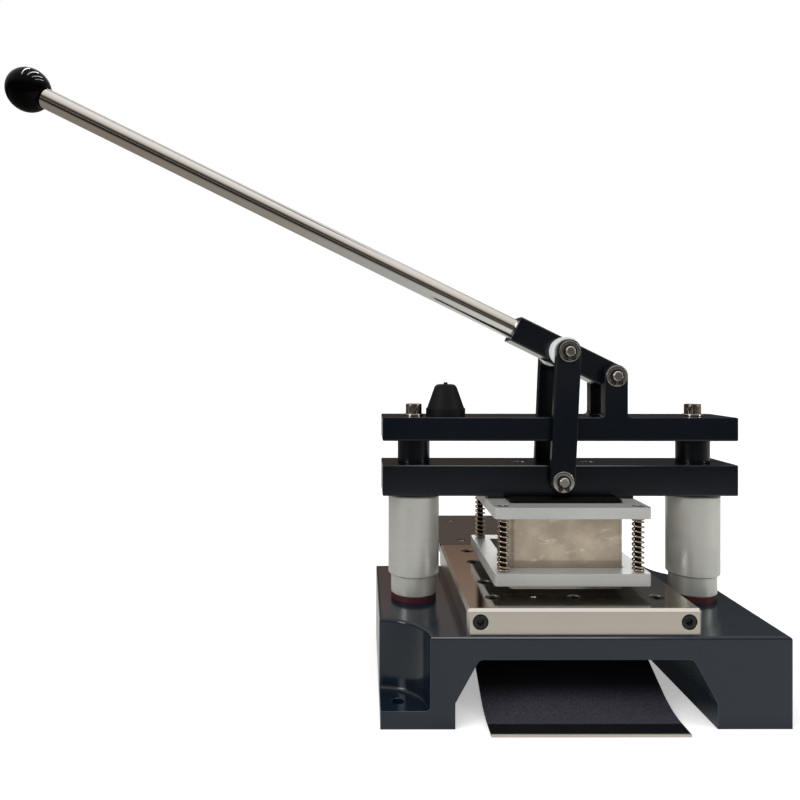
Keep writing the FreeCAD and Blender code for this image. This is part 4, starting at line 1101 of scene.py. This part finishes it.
@dataclass(frozen=True)
class Washer:
    """Flat ring with rounded edges, made in the place of each solid of a CAD node."""

    bore: float
    edge: float = 0.0006
    columns: int = 96

    def grid(self, solid: Solid, direction: Direction) -> np.ndarray:
        """Turn the ring's rounded rectangle about the solid's own axis.

        Args:
            solid: the solid that it stands for.
            direction: the ring's axis.

        Returns:
            Its grid of points, whose rows close on themselves.
        """
        along = direction.along
        across = [index for index in range(3) if index != along]
        outer = solid.size[across[0]] / 2
        inner = self.bore / 2
        half = solid.size[along] / 2
        middle = (inner + outer) / 2
        corners = np.array(
            [[middle, -half], [outer, -half], [outer, half], [inner, half], [inner, -half], [middle, -half]]
        )
        profile = filleted(corners, np.full(len(corners), self.edge), steps=4)[:-1]
        surface = turned(profile[:, 0], profile[:, 1], self.columns)
        return placed(surface, solid.centre, np.array(direction.value))

    def group(self, node: str, body: str, finish: Finish, direction: Direction) -> Piece:
        """Rings in the places of a CAD node's solids, as one piece."""
        grids = [self.grid(solid, direction) for solid in solids_of(node)]
        return Piece(node + "_rounded", body, finish, grids, (node,), True)


@dataclass(frozen=True)
class Spring:
    """Compression spring with a closed turn at each end."""

    wire: float
    turns: float
    closed_turns: float
    joint: str
    keep: float
    anchor: float
    steps_per_turn: int = 40
    sides: int = 12
    closed_pitch: float = 1.04
    start_angle: float = math.pi / 5

    def grid(self, solid: Solid) -> np.ndarray:
        """Carry a circle along a helix that fills the solid's box.

        The helix turns at an even rate, to the left. Its rise is slow over the closed turns at both
        ends, where the wire lies on itself, and even between them.

        Args:
            solid: the solid that it stands for.

        Returns:
            Its grid of points.
        """
        radius = solid.size[0] / 2 - self.wire / 2
        low = solid.low[2] + self.wire / 2
        room = solid.size[2] - self.wire
        turn = np.linspace(0.0, self.turns, int(self.turns * self.steps_per_turn) + 1)
        closed_rise = self.closed_turns * self.wire * self.closed_pitch
        knots = [0.0, self.closed_turns, self.turns - self.closed_turns, self.turns]
        rise = np.interp(turn, knots, [0.0, closed_rise, room - closed_rise, room])
        angle = self.start_angle - 2 * np.pi * turn
        path = np.stack([radius * np.cos(angle), radius * np.sin(angle), rise], axis=1)
        along = np.gradient(path, axis=0)
        along = along / np.linalg.norm(along, axis=1)[:, None]
        outward = np.stack([np.cos(angle), np.sin(angle), np.zeros(len(angle))], axis=1)
        upward = np.cross(along, outward)
        around = 2 * np.pi * np.arange(self.sides) / self.sides
        cosine = np.cos(around)[None, :, None]
        sine = np.sin(around)[None, :, None]
        ring = cosine * outward[:, None] + sine * upward[:, None]
        tube = path[:, None] + self.wire / 2 * ring
        ends = [path[:1, None].repeat(self.sides, 1), tube, path[-1:, None].repeat(self.sides, 1)]
        foot = np.array([solid.centre[0], solid.centre[1], low])
        return np.concatenate(ends) + foot

    def build(self, node: str, body: str, finish: Finish) -> None:
        """Make the spring in a CAD node's place.

        Args:
            node: the CAD node that it stands for.
            body: the body that it rides on.
            finish: the wire's finish.
        """
        grids = [self.grid(solid) for solid in solids_of(node)]
        made = Piece(node + "_coil", body, finish, grids, (node,), sharp_above=WIRE_SHARP_ANGLE).build()
        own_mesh(made)


# Sub-assemblies


@dataclass
class Base:
    """Casting, bed plate, die, rear table and card chute."""

    body: str = "frame"

    def build(self) -> None:
        """Dress the castings and plates and make their screws."""
        dress(PALETTE.casting, "base_casting")
        dress(PALETTE.bed, "bed_plate")
        dress(PALETTE.die, "die_insert")
        dress(PALETTE.bright, "bed_dowels")
        dress(PALETTE.table, "rear_table")
        dress(PALETTE.bars, "left_table_bracket", "right_table_bracket")
        dress(PALETTE.chute, "chute")
        dress(PALETTE.strip, "chute_edge_strip")
        MIDDLE_SCREW.group("bed_screws", self.body, PALETTE.black, Direction.UP).build()
        MIDDLE_SCREW.group("bed_front_screws", self.body, PALETTE.black, Direction.FRONT).build()
        TINY_SCREW.group("table_screws", self.body, PALETTE.bright, Direction.UP).build()
        TINY_SCREW.group("bracket_screws", self.body, PALETTE.black, Direction.BACK).build()
        SMALL_SCREW.group("chute_screws", self.body, PALETTE.black, Direction.DOWN).build()


@dataclass
class Columns:
    """Guide posts with their collars, sleeves, bushes, gaskets and springs."""

    body: str = "frame"
    washer_bore: float = 0.0084
    return_spring: Spring = Spring(
        wire=0.0026, turns=6.0, closed_turns=0.8, joint="beam_travel", keep=0.552, anchor=0.090
    )

    def build(self) -> None:
        """Dress the turned pieces and make washers, cap screws and return springs."""
        dress(PALETTE.bright, "left_guide_post", "right_guide_post")
        dress(PALETTE.sleeves, "left_collar", "right_collar", "left_bushing_housing", "right_bushing_housing")
        dress(PALETTE.bronze, "left_guide_bush", "right_guide_bush")
        dress(PALETTE.collars, "left_stop_sleeve", "right_stop_sleeve")
        dress(PALETTE.gasket, "column_gaskets")
        dress(PALETTE.black, "post_base_screws")
        Washer(self.washer_bore).group("top_washers", self.body, PALETTE.bright, Direction.UP).build()
        LARGE_SCREW.group("top_cap_screws", self.body, PALETTE.heads, Direction.UP).build()
        self.return_spring.build("return_springs", self.body, PALETTE.wire)


@dataclass
class PressHead:
    """Top beam, press beam, punch and the sprung stripper plate."""

    body: str = "press_head"
    corners: tuple[str, ...] = ("front_left", "front_right", "rear_left", "rear_right")
    spring: Spring = Spring(
        wire=0.0014, turns=11.5, closed_turns=1.0, joint="stripper_travel", keep=0.719, anchor=0.1386
    )

    def build(self) -> None:
        """Dress the beams and plates and make their screws and springs."""
        dress(PALETTE.bars, "top_beam", "press_beam")
        dress(PALETTE.plates, "punch_holder_plate", "stripper_plate")
        dress(PALETTE.black, "holder_shims", "holder_screws")
        dress(PALETTE.punch, "punch")
        LARGE_SCREW.group("punch_screws", self.body, PALETTE.bright, Direction.UP).build()
        BOLT.group("stripper_bolts", "stripper", PALETTE.bolts, Direction.UP).build()
        for corner in self.corners:
            self.spring.build(corner + "_spring", self.body, PALETTE.wire)


@dataclass
class Linkage:
    """Lever block with its rod and knob, the two links, and the pins with washers and clips."""

    body: str = "lever"
    pin_bore: float = 0.0081

    def build(self) -> None:
        """Dress the bars, pins and knob and make the washers."""
        dress(PALETTE.bars, "lever_block", "front_link", "rear_link")
        dress(PALETTE.rod, "lever_rod")
        dress(PALETTE.brass, "knob_insert")
        dress(PALETTE.knob, "lever_knob")
        dress(PALETTE.nylon, "link_spacers")
        dress(PALETTE.bright, "crank_pin", "lower_link_pin", "lever_pivot_pin")
        dress(PALETTE.black, "crank_clips", "lower_link_clips", "lever_pivot_clips")
        washer = Washer(self.pin_bore)
        homes = {"crank": self.body, "lower_link": "press_head", "lever_pivot": "frame"}
        for name, body in homes.items():
            washer.group(name + "_washers", body, PALETTE.bright, Direction.FRONT).build()


@dataclass
class LeverStop:
    """Rubber bumper that the lever comes down on."""

    body: str = "frame"

    def build(self) -> None:
        """Dress the bumper and its screw."""
        dress(PALETTE.rubber, "lever_stop_bumper")
        dress(PALETTE.black, "bumper_screw")


# Studio


@dataclass(frozen=True)
class Lamp:
    """Flat soft light that points at the press. It lights all but the spared nodes, or only some."""

    name: str
    place: Vector3
    width: float
    length: float
    power: float
    only: tuple[str, ...] = ()
    spared: tuple[str, ...] = ()
    level: bool = False

    def hang(self, target: Vector3) -> None:
        """Hang the light so that it faces the target, or straight down where it is level.

        Args:
            target: the point that it lights.
        """
        data = bpy.data.lights.new(self.name, "AREA")
        data.shape = "RECTANGLE"
        data.size = self.width
        data.size_y = self.length
        data.energy = self.power
        made = in_scene(self.name, data)
        back = np.array((0.0, 0.0, 1.0)) if self.level else np.array(self.place) - np.array(target)
        basis = basis_along(back / np.linalg.norm(back))
        made.matrix_world = Matrix.Translation(self.place) @ Matrix(basis.T.tolist()).to_4x4()
        made.visible_camera = False
        if self.only or self.spared:
            linked = bpy.data.collections.new(self.name + "_linked")
            for node in self.only + self.spared:
                linked.objects.link(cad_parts[node])
            for entry in linked.collection_objects:
                entry.light_linking.link_state = "INCLUDE" if self.only else "EXCLUDE"
            made.light_linking.receiver_collection = linked


PAINTED_NODES = ("base_casting", "top_beam", "press_beam", "front_link", "rear_link", "lever_block")
LEVER_NODES = ("lever_knob", "lever_rod")
KNOB_NODES = ("lever_knob",)
PLATE_NODES = ("punch_holder_plate", "stripper_plate")


def tube(name: str, across: float) -> Lamp:
    """Thin level light high above the knob, at a place from left to right."""
    return Lamp(name, (across, 0.0, 1.2), width=0.8, length=0.04, power=7.0, only=KNOB_NODES, level=True)


# Tones of the reflected room, by height from 0 level to 1 overhead, and of the table, left to right
FRONT_STOPS: Stops = (
    (0.0, (0.3, 0.29, 0.27)),
    (0.02, (0.04, 0.033, 0.028)),
    (0.26, (0.05, 0.04, 0.034)),
    (0.4, (0.24, 0.2, 0.17)),
    (0.52, (0.62, 0.56, 0.5)),
    (0.8, (0.8, 0.76, 0.72)),
    (0.94, (0.92, 0.9, 0.88)),
)
WARM_STOPS: Stops = (
    (0.0, (0.04, 0.035, 0.03)),
    (0.2, (0.07, 0.055, 0.045)),
    (0.27, (0.3, 0.2, 0.15)),
    (0.34, (0.42, 0.32, 0.27)),
    (0.45, (0.5, 0.47, 0.44)),
    (0.7, (0.75, 0.72, 0.68)),
    (0.94, (0.92, 0.9, 0.88)),
)
COOL_STOPS: Stops = (
    (0.0, (0.035, 0.035, 0.037)),
    (0.2, (0.05, 0.05, 0.054)),
    (0.3, (0.1, 0.1, 0.1)),
    (0.38, (0.2, 0.2, 0.19)),
    (0.5, (0.42, 0.42, 0.4)),
    (0.7, (0.7, 0.69, 0.66)),
    (0.94, (0.92, 0.9, 0.88)),
)
TABLE_STOPS: Stops = (
    (0.0, (0.24, 0.21, 0.18)),
    (0.45, (0.3, 0.27, 0.24)),
    (0.75, (0.45, 0.44, 0.42)),
    (1.0, (0.75, 0.74, 0.7)),
)


@dataclass
class Studio:
    """Pale floor, white surroundings with a dim room in their reflections, soft lights, camera."""

    floor_reach: float = 8.0
    floor_level: float = -0.0002
    floor_colour: Colour = (0.9, 0.9, 0.9)
    floor_glow: float = 0.38
    floor_drift: float = 1.03
    floor_waves: float = 3.0
    table_width: float = 0.8
    table_offset: float = 1.1
    press_sides: Span = (-0.14, -0.09, 0.14, 0.2)
    press_depths: Span = (-0.11, -0.04, 0.2, 0.3)
    front_fall: tuple[float, float] = (-1.1, -0.4)
    front_light: float = 0.06
    press_shadow: float = 0.95
    room_turn: tuple[float, float] = (-0.1, 0.1)
    wall_turn: tuple[float, float] = (0.16, 0.28)
    bar_turn: tuple[float, float] = (0.0, 0.1)
    ceiling_bar: Span = (0.9, 0.915, 0.955, 0.97)
    bar_colour: Colour = (0.03, 0.025, 0.02)
    sky_light: float = 0.4
    sun_power: float = 1.5
    sun_spread: float = 70.0
    sun_turn: Vector3 = (28.0, -18.0, 0.0)
    eye: Vector3 = (-0.1541, -0.5576, 0.2524)
    yaw: float = 0.23
    pitch: float = -0.04
    roll: float = 0.07
    picture: float = 800.0
    focal_pixels: float = 683.1
    centre_pixels: tuple[float, float] = (367.4, 364.1)
    sensor: float = 36.0
    target: Vector3 = (0.0, 0.0, 0.15)
    lamps: tuple[Lamp, ...] = (
        Lamp("left_box", (-1.3, -0.9, 0.7), width=0.4, length=0.9, power=7.0, spared=LEVER_NODES),
        Lamp("right_box", (1.4, -0.8, 0.7), width=0.4, length=0.9, power=6.0, spared=LEVER_NODES),
        Lamp("rim_box", (0.2, -0.4, 1.1), width=1.4, length=0.5, power=8.0, only=PAINTED_NODES),
        Lamp("plate_box", (0.35, 1.3, 0.55), width=1.4, length=0.5, power=7.0, only=PLATE_NODES),
        tube("first_tube", -0.6),
        tube("second_tube", -0.3),
        tube("third_tube", 0.0),
        tube("fourth_tube", 0.3),
    )

    def floor(self) -> None:
        """Lay a plain pale floor that reflections see as a table in a dim room.

        In a reflection its tone rises from left to right, falls away towards the operator, and has a
        painted shadow beneath the press.
        """
        reach = self.floor_reach
        level = self.floor_level
        ways = ((-1, -1), (1, -1), (1, 1), (-1, 1))
        corners = [(across * reach, along * reach, level) for across, along in ways]
        mesh = bpy.data.meshes.new("floor")
        mesh.from_pydata(corners, [], [(0, 1, 2, 3)])
        made = in_scene("floor", mesh)
        pale = bpy.data.materials.new("pale_floor")
        shader = Shader(pale)
        where = shader.coordinates()
        across, along = shader.parts_of(where)[:2]
        drift = shader.noise(where, self.floor_waves)
        tone = shader.mix(drift, self.floor_colour, shade(self.floor_colour, self.floor_drift))
        matt = shader.node("ShaderNodeBsdfDiffuse", None, {"Color": tone})
        glow = shader.node("ShaderNodeEmission", None, {"Strength": self.floor_glow})
        lit = shader.node("ShaderNodeAddShader", None, {0: matt, 1: glow})
        table = shader.ramp(across / self.table_width + self.table_offset, TABLE_STOPS)
        shaded = along.between(self.press_depths) * across.between(self.press_sides)
        nearing = along.rise(*self.front_fall) * (1.0 - self.front_light) + self.front_light
        away = nearing * (1.0 - shaded * self.press_shadow)
        seen = shader.node("ShaderNodeEmission", None, {"Color": table, "Strength": away})
        shader.finish(shader.by_ray("Is Glossy Ray", lit, seen))
        mesh.materials.append(pale)

    def world(self) -> None:
        """Surroundings: white to the camera, softer as light, and a room in reflections.

        In front the room is dark brown up to the ceiling; behind the press its wall is warmer and
        lighter on the left, greyer on the right. A dark bar runs between two ceilings.
        """
        made = bpy.data.worlds.new("studio")
        shader = Shader(made)
        way = shader.node("ShaderNodeTexCoord", output="Generated")
        across, along, height = shader.parts_of(way)
        front = shader.ramp(height, FRONT_STOPS)
        warm = shader.ramp(height, WARM_STOPS)
        cool = shader.ramp(height, COOL_STOPS)
        behind = shader.mix(across.rise(*self.wall_turn), warm, cool)
        room = shader.mix(along.rise(*self.room_turn), front, behind)
        bar = height.between(self.ceiling_bar) * along.rise(*self.bar_turn)
        reflected = shader.background(shader.mix(bar, room, self.bar_colour), 1.0)
        light = shader.background(WHITE, self.sky_light)
        unseen = shader.by_ray("Is Glossy Ray", light, reflected)
        shader.finish(shader.by_ray("Is Camera Ray", unseen, shader.background(WHITE, 1.0)))
        bpy.context.scene.world = made

    def sun(self) -> None:
        """Very soft light from above on the left, as strong far away as near."""
        data = bpy.data.lights.new("soft_sun", "SUN")
        data.energy = self.sun_power
        data.angle = math.radians(self.sun_spread)
        made = in_scene("soft_sun", data)
        made.rotation_euler = [math.radians(angle) for angle in self.sun_turn]
        made.visible_glossy = False

    def camera(self) -> None:
        """Set the camera where the photograph was taken from.

        Its rows of directions are right, up and back, from the yaw, pitch and roll in degrees. The
        shift puts the point that it looks at on its place in the picture.
        """
        yaw, pitch, roll = (math.radians(angle) for angle in (self.yaw, self.pitch, self.roll))
        ahead = math.cos(pitch)
        forward = np.array([math.sin(yaw) * ahead, math.cos(yaw) * ahead, -math.sin(pitch)])
        level = np.array([math.cos(yaw), -math.sin(yaw), 0.0])
        over = np.cross(level, forward)
        right = math.cos(roll) * level + math.sin(roll) * over
        up = math.cos(roll) * over - math.sin(roll) * level
        data = bpy.data.cameras.new("camera")
        data.sensor_width = self.sensor
        data.lens = self.focal_pixels * self.sensor / self.picture
        data.shift_x = 0.5 - self.centre_pixels[0] / self.picture
        data.shift_y = self.centre_pixels[1] / self.picture - 0.5
        made = in_scene("camera", data)
        turn = Matrix(np.stack([right, up, -forward], axis=1).tolist()).to_4x4()
        made.matrix_world = Matrix.Translation(self.eye) @ turn
        bpy.context.scene.camera = made

    def build(self) -> None:
        """Set up the whole studio."""
        self.floor()
        self.world()
        self.sun()
        for lamp in self.lamps:
            lamp.hang(self.target)
        self.camera()
        settings = bpy.context.scene.view_settings
        settings.view_transform = "Standard"
        settings.look = "None"


def main() -> None:
    """Build the studio and every sub-assembly in order."""
    logging.basicConfig(level=logging.INFO, format="%(name)s %(message)s")
    for group in (Studio(), Base(), Columns(), PressHead(), Linkage(), LeverStop()):
        LOG.info("%s", type(group).__name__)
        group.build()


if __name__ == "__main__":
    main()
